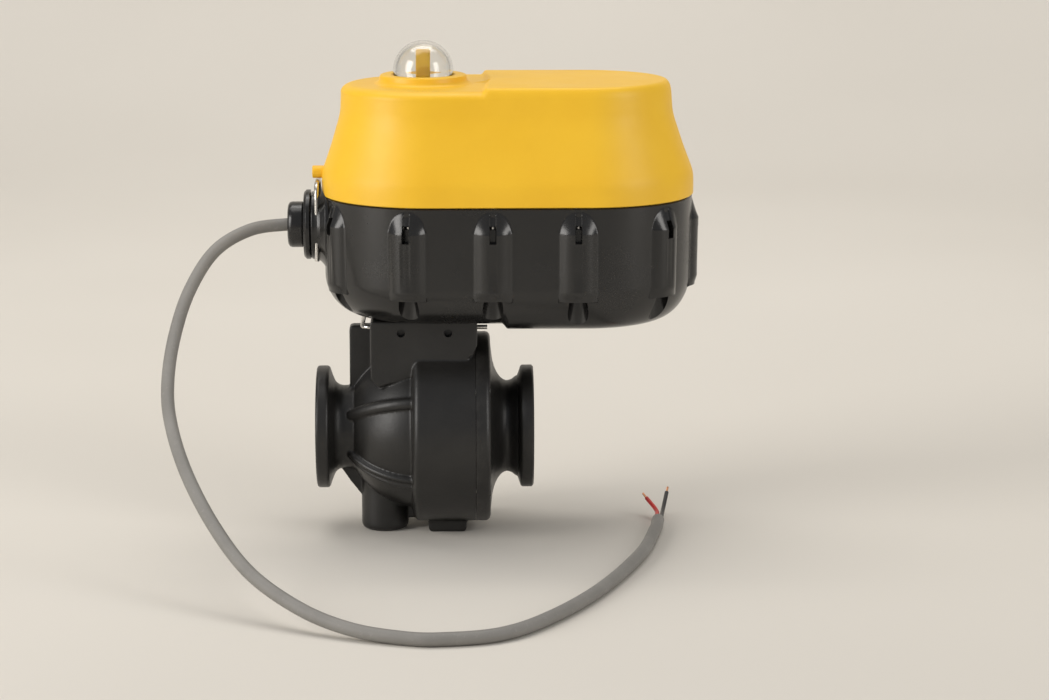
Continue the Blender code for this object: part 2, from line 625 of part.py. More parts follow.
def make_drive():
    shaft = turned("output_shaft", [(0.0, 47.8), (9.0, 47.8), (9.0, 65.6), (8.0, 65.6),
                                    (8.0, 87.4), (6.0, 87.4), (6.0, 173.2), (4.5, 173.8),
                                    (4.5, 176.5), (0.0, 176.5)], "Z", STEEL, steps=20)
    socket = box("square_socket", -4.55, 4.55, -4.55, 4.55, 46.0, 60.5)
    combine(shaft, "DIFFERENCE", socket)
    turned("lower_bush", [(9.3, 50.0), (11.5, 50.0), (11.5, 63.5), (9.3, 63.5)], "Z", BUSHING,
           steps=24)
    turned("upper_bush", [(6.3, 87.8), (8.5, 87.8), (8.5, 91.6), (6.3, 91.6)], "Z", BUSHING,
           steps=20)

    gear = bmesh.new()
    add_gear(gear, OUT_TEETH, OUT_MODULE, 66.0, 74.0, 0.0, 0.0)
    gear = finish("output_gear", gear, BRASS)
    combine(gear, "DIFFERENCE", rod("output_gear_bore", (0, 0, 64), (0, 0, 76), 8.3, sides=20))

    axis = (IDLER_X, 0.0, 0.0)
    wheel = bmesh.new()
    add_gear(wheel, MID_TEETH, MID_MODULE, 76.5, 81.5, IDLER_X, 0.0)
    idler = finish("idler_gear", wheel, BRASS, axis)
    pinion = bmesh.new()
    add_gear(pinion, OUT_PINION, OUT_MODULE, 65.2, 75.2, IDLER_X, 15.0)
    hub = rod("idler_hub", (IDLER_X, 0, 65.0), (IDLER_X, 0, 84.0), 4.6, sides=16)
    bore = rod("idler_bore", (IDLER_X, 0, 60.0), (IDLER_X, 0, 90.0), 2.8, sides=14)
    combine(idler, "UNION", hub, finish("idler_pinion", pinion))
    combine(idler, "DIFFERENCE", bore)
    rod("idler_axle", (IDLER_X, 0, 63.4), (IDLER_X, 0, 90.6), 2.45, STEEL, 14, axis)

    small = bmesh.new()
    add_gear(small, MID_PINION, MID_MODULE, 75.8, 82.2, MOTOR_X, 18.0)
    small = finish("motor_pinion", small, STEEL, (MOTOR_X, 0.0, 0.0))
    combine(small, "UNION", rod("motor_spindle", (MOTOR_X, 0, 75.0), (MOTOR_X, 0, 99.0), 2.4,
                                sides=12))
    motor = turned("gear_motor", [(0.0, 91.4), (17.0, 91.4), (18.0, 92.4), (18.0, 118.0),
                                  (16.0, 118.4), (16.0, 148.0), (15.0, 149.0), (5.0, 149.0),
                                  (5.0, 151.5), (0.0, 151.5)], "Z", STEEL, steps=24,
                   origin=(MOTOR_X, 0.0, 0.0))
    combine(motor, "DIFFERENCE", rod("motor_bearing", (MOTOR_X, 0, 90), (MOTOR_X, 0, 100.5),
                                     2.8, sides=14))

    plate = box("gear_plate", -26.0, 84.0, -35.0, 35.0, 88.0, 91.0, mat=ALLOY, edge=6.0,
                segments=2, along="z")
    holes = bmesh.new()
    add_rod(holes, (0, 0, 86), (0, 0, 93), 8.8, 20)
    add_rod(holes, (IDLER_X, 0, 86), (IDLER_X, 0, 93), 2.8, 14)
    add_rod(holes, (MOTOR_X, 0, 86), (MOTOR_X, 0, 93), 3.2, 14)
    for x, y in plate_posts():
        add_rod(holes, (x, y, 86), (x, y, 93), 1.9, 10)
    combine(plate, "DIFFERENCE", finish("plate_holes", holes))
    pilot = bmesh.new()
    for x, y in plate_posts():
        add_rod(pilot, (x, y, 74), (x, y, 89), 1.9, 10)
    combine(bpy.data.objects["actuator_base"], "DIFFERENCE", finish("post_pilots", pilot))
    for n, (x, y) in enumerate(plate_posts()):
        turned(f"plate_screw_{n + 1}", [(0.0, 75.0), (1.55, 75.0), (1.55, 91.3), (3.2, 91.3),
                                        (3.2, 93.6), (0.0, 93.6)], "Z", STEEL, steps=10,
               origin=(x, y, 0.0))

    cam = turned("switch_cam", [(6.3, 95.0), (10.5, 95.0), (10.5, 103.5), (6.3, 103.5)], "Z",
                 SEAT, steps=24)
    lobe = bmesh.new()
    outline = [(math.cos(a), math.sin(a)) for a in (math.radians(t) for t in (60, 75, 90, 105,
                                                                              120))]
    ring = [(9.0 * x, 9.0 * y) for x, y in outline] + [(13.6 * x, 13.6 * y)
                                                       for x, y in outline[::-1]]
    add_loft(lobe, [[(x, y, z) for x, y in ring] for z in (96.5, 102.0)])
    combine(cam, "UNION", finish("cam_lobe", lobe))
    for name, side in (("limit_switch_closed", 1), ("limit_switch_open", -1)):
        low, high = sorted((side * 17.0, side * 24.0))
        switch = box(name, -11.0, 11.0, low, high, 91.4, 104.0, mat=SWITCH, edge=0.6,
                     segments=1)
        roller = rod(name + "_roller", (5.0, side * 16.0, 96.8), (5.0, side * 16.0, 101.5), 1.7,
                     sides=10)
        combine(switch, "UNION", roller)

    board = box("circuit_board", 87.0, 110.0, -29.0, 29.0, 98.0, 99.6, mat=BOARD)
    fittings = [box("terminal_block", 99.0, 109.0, -20.0, 20.0, 99.0, 109.0),
                box("relay_case", 88.5, 97.0, -17.0, 3.0, 99.0, 112.0),
                box("capacitor_row", 89.5, 97.5, 8.0, 26.0, 99.0, 106.0)]
    combine(board, "UNION", *fittings)


# ---------------------------------------------------------------- cable entry
def make_cable_entry():
    centre = (0.0, 0.0, GLAND_Z)
    bore = CABLE_R + 0.45
    turned("gland_body", [(bore, -49.0), (14.9, -49.0), (14.9, -51.0), (13.1, -51.0),
                          (13.1, -54.1), (14.9, -54.1), (14.9, -56.0), (17.25, -56.0),
                          (17.25, -58.2), (16.2, -59.2), (9.6, -59.2), (9.6, -65.8),
                          (7.0, -65.8), (7.0, -60.0), (bore, -60.0)], "X", HOUSING, steps=20,
           origin=centre)
    turned("gland_nut", [(9.9, -59.6), (11.0, -59.6), (11.35, -60.4), (11.35, -66.0),
                         (10.6, -67.3), (bore, -67.3), (bore, -66.4), (9.9, -66.4)], "X",
           HOUSING, steps=20, origin=centre)
    turned("cable_seal", [(bore, -60.4), (6.7, -60.4), (6.7, -66.0), (bore, -66.0)], "X",
           RUBBER, steps=20, origin=centre)
    clip = rounded_path(((-52.5, -14.6, 86.5), (-52.5, -14.6, 124.2), (-52.5, 14.6, 124.2),
                         (-52.5, 14.6, 86.5)), 8.0, steps=5)
    wire("gland_clip", clip, 1.15, STEEL)
    wire("supply_cable", smooth_route(CABLE_ROUTE, 13.0), CABLE_R, GREY_PVC)

    end, before = Vector(CABLE_ROUTE[-1]), Vector(CABLE_ROUTE[-2])
    along = (end - before).normalized()
    across = Vector((-along.y, along.x, 0.0))
    cores = (("core_red", RED_PVC, -1.5, 0.6, (-3.0, 22.0, 5.0)),
             ("core_black", BLACK_PVC, 1.5, 0.4, (4.5, 27.0, 7.0)),
             ("core_white", WHITE_PVC, 0.0, -1.6, (0.6, 16.0, 1.0)))
    for name, mat, aside, lift, reach in cores:
        start = end + along * 0.45 - across * aside + Vector((0, 0, lift))
        tip = start + Vector(reach)
        middle = start + along * (reach[1] * 0.45) + Vector((0, 0, reach[2] * 0.25))
        wire(name, smooth_route((start, middle, tip), 4.0), CORE_R, mat)
        out = (tip - middle).normalized()
        wire(name.replace("core", "strand"), [tip + out * 0.35, tip + out * 5.0], 0.6, COPPER)


make_valve_body()
make_end_cap()
make_ball_and_stem()
make_base()
make_gasket()
make_cover()
make_window()
make_cover_screws()
make_drive()
make_cable_entry()
bpy.context.view_layer.update()
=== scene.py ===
"""Looks of the motorised ball valve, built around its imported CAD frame.

Tables are in millimetres measured from where the stem axis crosses the flow axis, as in the CAD
source. Meshes are made in metres in the row frame.
"""
import json
import math

import bmesh
import bpy
import numpy as np
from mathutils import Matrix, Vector


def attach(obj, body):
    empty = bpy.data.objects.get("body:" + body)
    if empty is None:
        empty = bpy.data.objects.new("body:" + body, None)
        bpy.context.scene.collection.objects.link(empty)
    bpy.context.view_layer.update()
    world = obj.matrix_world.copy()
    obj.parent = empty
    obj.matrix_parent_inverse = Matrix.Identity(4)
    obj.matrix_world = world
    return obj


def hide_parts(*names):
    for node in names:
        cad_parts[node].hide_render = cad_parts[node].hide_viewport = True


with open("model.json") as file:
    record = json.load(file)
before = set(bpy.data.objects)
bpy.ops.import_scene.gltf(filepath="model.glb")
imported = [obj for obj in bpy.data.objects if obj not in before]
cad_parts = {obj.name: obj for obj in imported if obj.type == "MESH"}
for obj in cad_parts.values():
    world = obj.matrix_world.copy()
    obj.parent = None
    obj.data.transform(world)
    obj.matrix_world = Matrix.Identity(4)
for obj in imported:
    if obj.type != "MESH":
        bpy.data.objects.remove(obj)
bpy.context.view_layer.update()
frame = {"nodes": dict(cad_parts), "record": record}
NODES = frame["nodes"]
SCENE = bpy.context.scene
for name in ("Cube", "Light", "Camera"):
    if name in bpy.data.objects:
        bpy.data.objects.remove(bpy.data.objects[name], do_unlink=True)

MM = 0.001
STEM_X = 54.0
FLOOR_Z = -52.0
BORE_R = 15.875
SEAT_R = 21.5
CAN_R = 47.5
SHELL_R = 41.0
YOKE_TOP = 58.4
LEFT_C, RIGHT_C = 3.5, 79.4
SEAM_Z = 118.0
GLAND_Z = 102.6
CLIP_Z = 54.0
SCREW_R = 49.2


def row(points):
    """Millimetres from the stem axis, as an array in the row frame in metres."""
    found = np.array(points, float).reshape(-1, 3) * MM
    found[:, 0] += STEM_X * MM
    return found


def spot(x, y, z):
    return Vector(row([(x, y, z)])[0])


# ---------------------------------------------------------------- camera
def look(obj, back):
    obj.rotation_mode = "QUATERNION"
    obj.rotation_quaternion = (-Vector(back)).to_track_quat("-Z", "Y")


def make_camera():
    data = bpy.data.cameras.new("camera")
    data.sensor_width = 36.0
    data.lens = 36.0 * 3100.0 / 1049.0
    data.clip_start, data.clip_end = 0.05, 20.0
    camera = bpy.data.objects.new("camera", data)
    SCENE.collection.objects.link(camera)
    turn, lift = math.radians(-1.2), math.radians(11.3)
    back = Vector((math.sin(turn) * math.cos(lift), -math.cos(turn) * math.cos(lift),
                   math.sin(lift)))
    camera.location = Vector((0.10375, 0.0, 0.0386)) + back * 1.55
    look(camera, back)
    SCENE.camera = camera


make_camera()

# ---------------------------------------------------------------- cable route
CABLE_R = 3.15
CORE_R = 1.05
CABLE_ROUTE = (
    (-46.5, 0.0, 102.6), (-56.0, 0.0, 102.6), (-68.0, 0.0, 102.5), (-86.0, -4.0, 100.4),
    (-102.6, -14.0, 91.6), (-113.9, -30.0, 75.1), (-120.0, -48.0, 56.3),
    (-122.1, -66.0, 37.9), (-119.8, -84.0, 22.3), (-111.1, -108.0, 3.7),
    (-96.2, -136.0, -15.6), (-77.9, -162.0, -31.5), (-54.4, -184.0, -42.0),
    (-31.7, -198.5, -47.2), (-9.0, -207.5, -48.7), (8.3, -210.2, -48.7),
    (34.7, -203.0, -48.7), (57.5, -177.3, -48.7), (82.0, -131.5, -48.7),
    (104.2, -69.7, -48.7), (114.4, -22.1, -48.7), (117.2, -2.2, -48.7),
)


def curve_piece(name, points, radius, body, mat, stands_for, detail=6):
    """A round bar along a smooth Bezier curve through the points."""
    curve = bpy.data.curves.new(name, "CURVE")
    curve.dimensions = "3D"
    curve.bevel_depth = radius * MM
    curve.bevel_resolution = detail
    curve.resolution_u = 20
    curve.use_fill_caps = True
    spline = curve.splines.new("BEZIER")
    spots = row(points)
    spline.bezier_points.add(len(spots) - 1)
    ends = np.vstack([2 * spots[0] - spots[1], spots, 2 * spots[-1] - spots[-2]])
    for n, point in enumerate(spline.bezier_points):
        reach = (ends[n + 2] - ends[n]) / 6.0
        point.handle_left_type = point.handle_right_type = "FREE"
        point.co = spots[n]
        point.handle_left = spots[n] - reach
        point.handle_right = spots[n] + reach
    obj = bpy.data.objects.new(name, curve)
    SCENE.collection.objects.link(obj)
    curve.materials.append(mat)
    return settle(obj, body, stands_for)


def settle(obj, body, stands_for):
    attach(obj, body)
    if stands_for:
        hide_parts(*stands_for)
    return obj


def route_length(points):
    """Length in metres of the smooth curve through the points."""
    spots = row(points)
    ends = np.vstack([2 * spots[0] - spots[1], spots, 2 * spots[-1] - spots[-2]])
    total = 0.0
    t = np.linspace(0.0, 1.0, 61)[:, None]
    for a, b, c, d in zip(ends, ends[1:], ends[2:], ends[3:]):
        line = 0.5 * (2 * b + (c - a) * t + (2 * a - 5 * b + 4 * c - d) * t ** 2
                      + (3 * b - a - 3 * c + d) * t ** 3)
        total += np.linalg.norm(np.diff(line, axis=0), axis=1).sum()
    return float(total)


# ---------------------------------------------------------------- materials
class Graph:
    """Short calls for a material's nodes."""

    def __init__(self, name):
        self.mat = bpy.data.materials.new(name)
        self.mat.use_nodes = True
        self.tree = self.mat.node_tree
        self.shader = self.tree.nodes["Principled BSDF"]
        self.place = self.tree.nodes.new("ShaderNodeTexCoord").outputs["Object"]

    def link(self, out, socket):
        self.tree.links.new(out, socket)

    def feed(self, socket, value):
        if hasattr(value, "is_linked"):
            self.link(value, socket)
        else:
            socket.default_value = value

    def spread(self, scale):
        """Object coordinates stretched by a scale on each axis."""
        node = self.tree.nodes.new("ShaderNodeMapping")
        self.link(self.place, node.inputs["Vector"])
        node.inputs["Scale"].default_value = scale
        return node.outputs["Vector"]

    def noise(self, scale, detail=2.0, rough=0.5, place=None):
        node = self.tree.nodes.new("ShaderNodeTexNoise")
        self.link(place or self.place, node.inputs["Vector"])
        node.inputs["Scale"].default_value = scale
        node.inputs["Detail"].default_value = detail
        node.inputs["Roughness"].default_value = rough
        return node.outputs["Fac"]

    def cells(self, scale, place=None):
        node = self.tree.nodes.new("ShaderNodeTexVoronoi")
        self.link(place or self.place, node.inputs["Vector"])
        node.inputs["Scale"].default_value = scale
        return node.outputs["Distance"]

    def span(self, value, low, high, to_low=0.0, to_high=1.0):
        node = self.tree.nodes.new("ShaderNodeMapRange")
        node.clamp = True
        self.feed(node.inputs["Value"], value)
        for key, number in (("From Min", low), ("From Max", high), ("To Min", to_low),
                            ("To Max", to_high)):
            node.inputs[key].default_value = number
        return node.outputs["Result"]

    def calc(self, operation, a, b):
        node = self.tree.nodes.new("ShaderNodeMath")
        node.operation = operation
        self.feed(node.inputs[0], a)
        self.feed(node.inputs[1], b)
        return node.outputs[0]

    def mix(self, share, a, b):
        node = self.tree.nodes.new("ShaderNodeMix")
        node.data_type = "RGBA"
        self.feed(node.inputs[0], share)
        for socket, value in ((node.inputs[6], a), (node.inputs[7], b)):
            if isinstance(value, tuple) and len(value) == 3:
                value = (*value, 1.0)
            self.feed(socket, value)
        return node.outputs[2]

    def bump(self, height, strength, distance):
        node = self.tree.nodes.new("ShaderNodeBump")
        node.inputs["Strength"].default_value = strength
        node.inputs["Distance"].default_value = distance
        self.link(height, node.inputs["Height"])
        return node.outputs["Normal"]

    def pointed(self, low, high):
        """How far a place stands on an outer edge, from 0 to 1."""
        node = self.tree.nodes.new("ShaderNodeNewGeometry")
        return self.span(node.outputs["Pointiness"], low, high)

    def upward(self, low, high):
        node = self.tree.nodes.new("ShaderNodeNewGeometry")
        split = self.tree.nodes.new("ShaderNodeSeparateXYZ")
        self.link(node.outputs["Normal"], split.inputs[0])
        return self.span(split.outputs["Z"], low, high)

    def set(self, **values):
        for key, value in values.items():
            self.feed(self.shader.inputs[key.replace("_", " ")], value)


def moulded(name, dark, light, rough, grain_scale, grain_depth, wear=None, specular=0.5,
            cloud_scale=38.0, rough_swing=0.06, dust=0.0):
    """Moulded plastic: cloudy tone, spark-eroded grain, scuffed edges and a little dust."""
    g = Graph(name)
    cloud = g.noise(cloud_scale, 4.0, 0.6)
    fine = g.noise(grain_scale, 2.0, 0.6)
    speck = g.cells(grain_scale * 0.55)
    colour = g.mix(g.span(cloud, 0.3, 0.7), dark, light)
    colour = g.mix(g.span(fine, 0.35, 0.75, 0.0, 0.22), colour, light)
    if wear:
        edge = g.calc("MULTIPLY", g.pointed(0.53, 0.62), g.span(g.noise(210.0, 5.0, 0.65),
                                                              0.42, 0.62))
        colour = g.mix(g.calc("MULTIPLY", edge, 0.22), colour, wear)
    if dust:
        settled = g.calc("MULTIPLY", g.upward(0.55, 1.0), g.span(g.noise(90.0, 5.0, 0.7),
                                                              0.35, 0.75, 0.0, dust))
        colour = g.mix(settled, colour, (0.42, 0.40, 0.36))
    swing = g.span(g.noise(24.0, 3.0, 0.6), 0.3, 0.7, rough - rough_swing, rough + rough_swing)
    grainy = g.calc("ADD", swing, g.span(fine, 0.3, 0.7, -0.03, 0.03))
    g.set(Base_Color=colour, Roughness=grainy)
    g.shader.inputs["Specular IOR Level"].default_value = specular
    height = g.calc("ADD", fine, g.calc("MULTIPLY", speck, 0.7))
    g.set(Normal=g.bump(height, 0.75, grain_depth))
    return g.mat


def metal(name, tone, shade, rough, stretch, grain=900.0, depth=0.00001):
    """Worked metal: fine drawn lines along one axis, dull patches and faint pits."""
    g = Graph(name)
    lines = g.noise(grain, 3.0, 0.6, g.spread(stretch))
    patch = g.noise(140.0, 4.0, 0.6)
    colour = g.mix(g.span(patch, 0.3, 0.75), tone, shade)
    g.set(Base_Color=colour, Metallic=1.0)
    g.set(Roughness=g.calc("ADD", g.span(lines, 0.3, 0.7, rough - 0.05, rough + 0.08),
                          g.span(patch, 0.45, 0.8, 0.0, 0.12)))
    g.set(Normal=g.bump(lines, 0.5, depth))
    return g.mat


def polymer(name, tone, shade, rough, grain, depth, coat=0.0):
    g = Graph(name)
    cloud = g.noise(grain * 0.08, 3.0, 0.6)
    fine = g.noise(grain, 3.0, 0.6)
    g.set(Base_Color=g.mix(g.span(cloud, 0.3, 0.7), tone, shade))
    g.set(Roughness=g.span(fine, 0.3, 0.7, rough - 0.06, rough + 0.06))
    g.set(Normal=g.bump(fine, 0.5, depth))
    g.shader.inputs["Coat Weight"].default_value = coat
    return g.mat


def cover_material():
    return moulded("yellow_polycarbonate", (0.86, 0.49, 0.019), (0.91, 0.54, 0.025), 0.44, 2300.0,
                   0.000035, wear=(0.90, 0.60, 0.15), specular=0.45, cloud_scale=22.0)


def base_material():
    return moulded("black_housing", (0.0085, 0.0082, 0.0078), (0.0125, 0.012, 0.0112), 0.24, 1500.0,
                   0.000010, wear=(0.07, 0.067, 0.062), specular=0.55, dust=0.03)


def valve_material():
    return moulded("glass_filled_nylon", (0.0085, 0.0080, 0.0073), (0.0150, 0.0142, 0.0130), 0.38,
                   1250.0, 0.00004, wear=(0.085, 0.08, 0.073), specular=0.5, dust=0.03)


def jacket_material():
    g = Graph("grey_jacket")
    cloud = g.noise(34.0, 4.0, 0.6)
    fine = g.noise(1700.0, 3.0, 0.6)
    scuff = g.noise(420.0, 6.0, 0.7)
    colour = g.mix(g.span(cloud, 0.3, 0.7), (0.195, 0.187, 0.172), (0.245, 0.235, 0.217))
    colour = g.mix(g.span(scuff, 0.56, 0.74, 0.0, 0.35), colour, (0.37, 0.355, 0.33))
    g.set(Base_Color=colour, Roughness=g.span(scuff, 0.3, 0.7, 0.50, 0.66))
    g.set(Normal=g.bump(g.calc("ADD", fine, scuff), 0.5, 0.00003))
    return g.mat


def window_material():
    g = Graph("clear_window")
    haze = g.noise(260.0, 4.0, 0.6)
    g.set(Base_Color=(0.97, 0.97, 0.955, 1.0), Roughness=g.span(haze, 0.35, 0.8, 0.015, 0.07))
    g.shader.inputs["Transmission Weight"].default_value = 1.0
    g.shader.inputs["IOR"].default_value = 1.49
    g.set(Normal=g.bump(g.noise(420.0, 2.0, 0.5), 0.12, 0.00002))
    return g.mat


def board_material():
    g = Graph("circuit_board")
    tracks = g.cells(420.0, g.spread((1.0, 1.0, 0.05)))
    colour = g.mix(g.span(tracks, 0.42, 0.5), (0.012, 0.10, 0.035), (0.02, 0.19, 0.07))
    g.set(Base_Color=colour, Roughness=g.span(g.noise(600.0), 0.3, 0.7, 0.32, 0.48))
    g.set(Normal=g.bump(tracks, 0.3, 0.00004))
    return g.mat


LOOKS = {
    "valve_plastic": valve_material(),
    "housing_plastic": base_material(),
    "cover_plastic": cover_material(),
    "window": window_material(),
    "steel": metal("stainless_steel", (0.66, 0.64, 0.60), (0.52, 0.50, 0.47), 0.22,
                   (1.0, 1.0, 0.08)),
    "brass": metal("cut_brass", (0.74, 0.53, 0.23), (0.60, 0.42, 0.17), 0.28, (1.0, 1.0, 0.1)),
    "alloy": metal("rolled_alloy", (0.72, 0.72, 0.73), (0.62, 0.62, 0.63), 0.33,
                   (0.06, 1.0, 1.0)),
    "seat": polymer("white_seat", (0.80, 0.80, 0.77), (0.72, 0.72, 0.68), 0.42, 900.0, 0.00002),
    "rubber": polymer("black_rubber", (0.022, 0.022, 0.022), (0.034, 0.033, 0.032), 0.72, 1400.0,
                      0.00005),
    "bronze": metal("sintered_bronze", (0.56, 0.36, 0.17), (0.42, 0.26, 0.12), 0.42,
                    (1.0, 1.0, 1.0), 1600.0, 0.00003),
    "board": board_material(),
    "switch": polymer("switch_case", (0.035, 0.035, 0.036), (0.055, 0.055, 0.056), 0.4, 1100.0,
                      0.00003),
    "jacket": jacket_material(),
    "core_red": polymer("red_core", (0.62, 0.022, 0.018), (0.50, 0.015, 0.013), 0.36, 900.0,
                        0.00002, 0.15),
    "core_black": polymer("black_core", (0.014, 0.014, 0.014), (0.024, 0.023, 0.023), 0.36,
                          900.0, 0.00002, 0.15),
    "core_white": polymer("white_core", (0.80, 0.79, 0.75), (0.70, 0.69, 0.65), 0.4, 900.0,
                          0.00002, 0.1),
    "copper": metal("copper_strand", (0.80, 0.42, 0.24), (0.66, 0.32, 0.17), 0.26,
                    (1.0, 1.0, 1.0), 1500.0, 0.00002),
}


SLOTS = {piece["node"]: piece["material_slot"] for piece in frame["record"]["subparts"]}
for node_name, node in NODES.items():
    node.data.materials.clear()
    node.data.materials.append(LOOKS[SLOTS[node_name]])

# ---------------------------------------------------------------- cord
CORES = (("core_red", -1.5, 0.6, (-3.0, 22.0, 5.0)), ("core_black", 1.5, 0.4, (4.5, 27.0, 7.0)),
         ("core_white", 0.0, -1.6, (0.6, 16.0, 1.0)))


def make_cable():
    cable = curve_piece("cable", CABLE_ROUTE, CABLE_R, "housing", LOOKS["jacket"],
                        ["supply_cable"], detail=10)
    end, before = Vector(CABLE_ROUTE[-1]), Vector(CABLE_ROUTE[-2])
    along = (end - before).normalized()
    across = Vector((-along.y, along.x, 0.0))
    for name, aside, lift, reach in CORES:
        start = end + along * 0.45 - across * aside + Vector((0, 0, lift))
        tip = start + Vector(reach)
        middle = start + along * (reach[1] * 0.45) + Vector((0, 0, reach[2] * 0.25))
        curve_piece(name + "_sleeve", (start, middle, tip), CORE_R, "housing",
                                LOOKS[name], [name])
        out = (tip - middle).normalized()
        first, last = tip + out * 0.35, tip + out * 5.0
        strand(name.replace("core", "strand"), first, last)
    list(spot(*CABLE_ROUTE[0]))
    route_length(CABLE_ROUTE)


def strand(node, first, last):
    """Seven thin wires twisted into one bared end."""
    first, last = Vector(first), Vector(last)
    run = last - first
    side = run.orthogonal().normalized()
    other = run.normalized().cross(side)
    curve = bpy.data.curves.new(node + "_wires", "CURVE")
    curve.dimensions = "3D"
    curve.bevel_depth = 0.185 * MM
    curve.bevel_resolution = 3
    curve.use_fill_caps = True
    for n in range(7):
        spline = curve.splines.new("POLY")
        spline.points.add(11)
        for k in range(12):
            t = k / 11
            turn = math.tau * (n / 6.0 + t * 0.8)
            ring = 0.0 if n == 6 else 0.385
            here = first + run * t + (side * math.cos(turn) + other * math.sin(turn)) * ring
            spline.points[k].co = (*spot(*here), 1.0)
    obj = bpy.data.objects.new(node + "_wires", curve)
    SCENE.collection.objects.link(obj)
    curve.materials.append(LOOKS["copper"])
    return settle(obj, "housing", [node])


make_cable()


# ---------------------------------------------------------------- mesh helpers
def linked(name, verts, faces):
    """An object from millimetre points, already in the row frame when linked."""
    mesh = bpy.data.meshes.new(name)
    mesh.from_pydata(row(verts).tolist(), [], [tuple(f) for f in faces])
    mesh.validate()
    mesh.polygons.foreach_set("use_smooth", [True] * len(mesh.polygons))
    obj = bpy.data.objects.new(name, mesh)
    SCENE.collection.objects.link(obj)
    return obj


def rounded(profile, radius, steps=4, closed=False):
    """The profile with its corners turned into small arcs."""
    points = [Vector(p) for p in profile]
    count = len(points)
    made = []
    for n, corner in enumerate(points):
        if not closed and n in (0, count - 1):
            made.append(tuple(corner))
            continue
        before, after = points[n - 1], points[(n + 1) % count]
        into, out = before - corner, after - corner
        if into.length < 1e-6 or out.length < 1e-6:
            continue
        bend = math.pi - into.angle(out)
        if bend < math.radians(12):
            made.append(tuple(corner))
            continue
        cut = min(radius * math.tan(bend / 2), 0.45 * into.length, 0.45 * out.length)
        start, end = corner + into.normalized() * cut, corner + out.normalized() * cut
        for k in range(steps + 1):
            t = k / steps
            made.append(tuple(start * (1 - t) ** 2 + corner * 2 * t * (1 - t) + end * t ** 2))
    return made


def lathe(profile, axis="Z", origin=(0.0, 0.0, 0.0), steps=96, edge=0.0, corner_steps=4):
    """(verts, faces) of a (radius, height) profile turned about an axis through origin."""
    on_axis = profile[0][0] < 1e-6 and profile[-1][0] < 1e-6
    area = sum(a[0] * b[1] - b[0] * a[1] for a, b in zip(profile, profile[1:] + profile[:1]))
    if area < 0:
        profile = profile[::-1]
    if edge:
        profile = rounded(profile, edge, corner_steps, closed=not on_axis)
    verts, rings = [], []
    for radius, height in profile:
        if radius < 1e-6:
            rings.append([len(verts)])
            verts.append((0.0, 0.0, height))
            continue
        rings.append(list(range(len(verts), len(verts) + steps)))
        for k in range(steps):
            a = math.tau * k / steps
            verts.append((radius * math.cos(a), radius * math.sin(a), height))
    faces = []
    pairs = list(zip(rings, rings[1:]))
    if not on_axis:
        pairs.append((rings[-1], rings[0]))
    for low, high in pairs:
        for k in range(steps):
            j = (k + 1) % steps
            if len(low) == 1 and len(high) == 1:
                continue
            if len(low) == 1:
                faces.append((low[0], high[j], high[k]))
            elif len(high) == 1:
                faces.append((low[k], low[j], high[0]))
            else:
                faces.append((low[k], low[j], high[j], high[k]))
    place = np.array(verts)
    if axis == "X":
        place = place[:, [2, 0, 1]]
    elif axis == "Y":
        place = place[:, [1, 2, 0]]
    return place + np.array(origin), faces


def prism(outline, low, high, plane="XZ"):
    """(verts, faces) of an outline pushed between two distances on the third axis."""
    count = len(outline)
    order = {"XZ": lambda u, v, w: (u, w, v), "XY": lambda u, v, w: (u, v, w),
             "YZ": lambda u, v, w: (w, u, v)}[plane]
    verts = [order(u, v, w) for w in (low, high) for u, v in outline]
    faces = [tuple(range(count))[::-1], tuple(range(count, 2 * count))]
    for k in range(count):
        j = (k + 1) % count
        faces.append((k, j, j + count, k + count))
    return np.array(verts), faces


def rod(start, end, radius, sides=32):
    start, end = Vector(start), Vector(end)
    run = end - start
    turn = Vector((0, 0, 1)).rotation_difference(run)
    verts = []
    for height in (0.0, run.length):
        for k in range(sides):
            a = math.tau * k / sides
            verts.append(start + turn @ Vector((radius * math.cos(a), radius * math.sin(a),
                                                height)))
    faces = [tuple(range(sides))[::-1], tuple(range(sides, 2 * sides))]
    for k in range(sides):
        j = (k + 1) % sides
        faces.append((k, j, j + sides, k + sides))
    return np.array(verts), faces


def skin(rings):
    """(verts, faces) of a closed tube through rings of equal count, capped at both ends."""
    count = len(rings[0])
    verts = [p for ring in rings for p in ring]
    faces = [tuple(range(count))[::-1],
             tuple(range(len(verts) - count, len(verts)))]
    for n in range(len(rings) - 1):
        for k in range(count):
            j = (k + 1) % count
            a = n * count
            faces.append((a + k, a + j, a + j + count, a + k + count))
    return np.array(verts), faces


def joined(*parts):
    verts, faces, start = [], [], 0
    for points, polys in parts:
        verts.append(np.array(points, float))
        faces += [tuple(i + start for i in poly) for poly in polys]
        start += len(points)
    return np.vstack(verts), faces


def facing_out(obj):
    bm = bmesh.new()
    bm.from_mesh(obj.data)
    bmesh.ops.recalc_face_normals(bm, faces=bm.faces)
    bm.to_mesh(obj.data)
    bm.free()
    return obj


def bake(obj):
    """Puts the modifiers into the mesh."""
    bpy.context.view_layer.update()
    graph = bpy.context.evaluated_depsgraph_get()
    mesh = bpy.data.meshes.new_from_object(obj.evaluated_get(graph))
    old = obj.data
    obj.modifiers.clear()
    obj.data = mesh
    bpy.data.meshes.remove(old)
    return obj


def carve(obj, operation, *shapes):
    """One Boolean with several closed shapes, which are removed afterwards."""
    for shape in shapes:
        cutter = facing_out(linked("cutter", *shape))
        modifier = obj.modifiers.new("cut", "BOOLEAN")
        modifier.operation = operation
        modifier.solver = "MANIFOLD"
        modifier.object = cutter
        before = len(obj.data.vertices)
        bake(obj)
        if len(obj.data.vertices) == before:
            print("carve changed nothing:", obj.name, operation)
        bpy.data.objects.remove(cutter, do_unlink=True)
    return obj


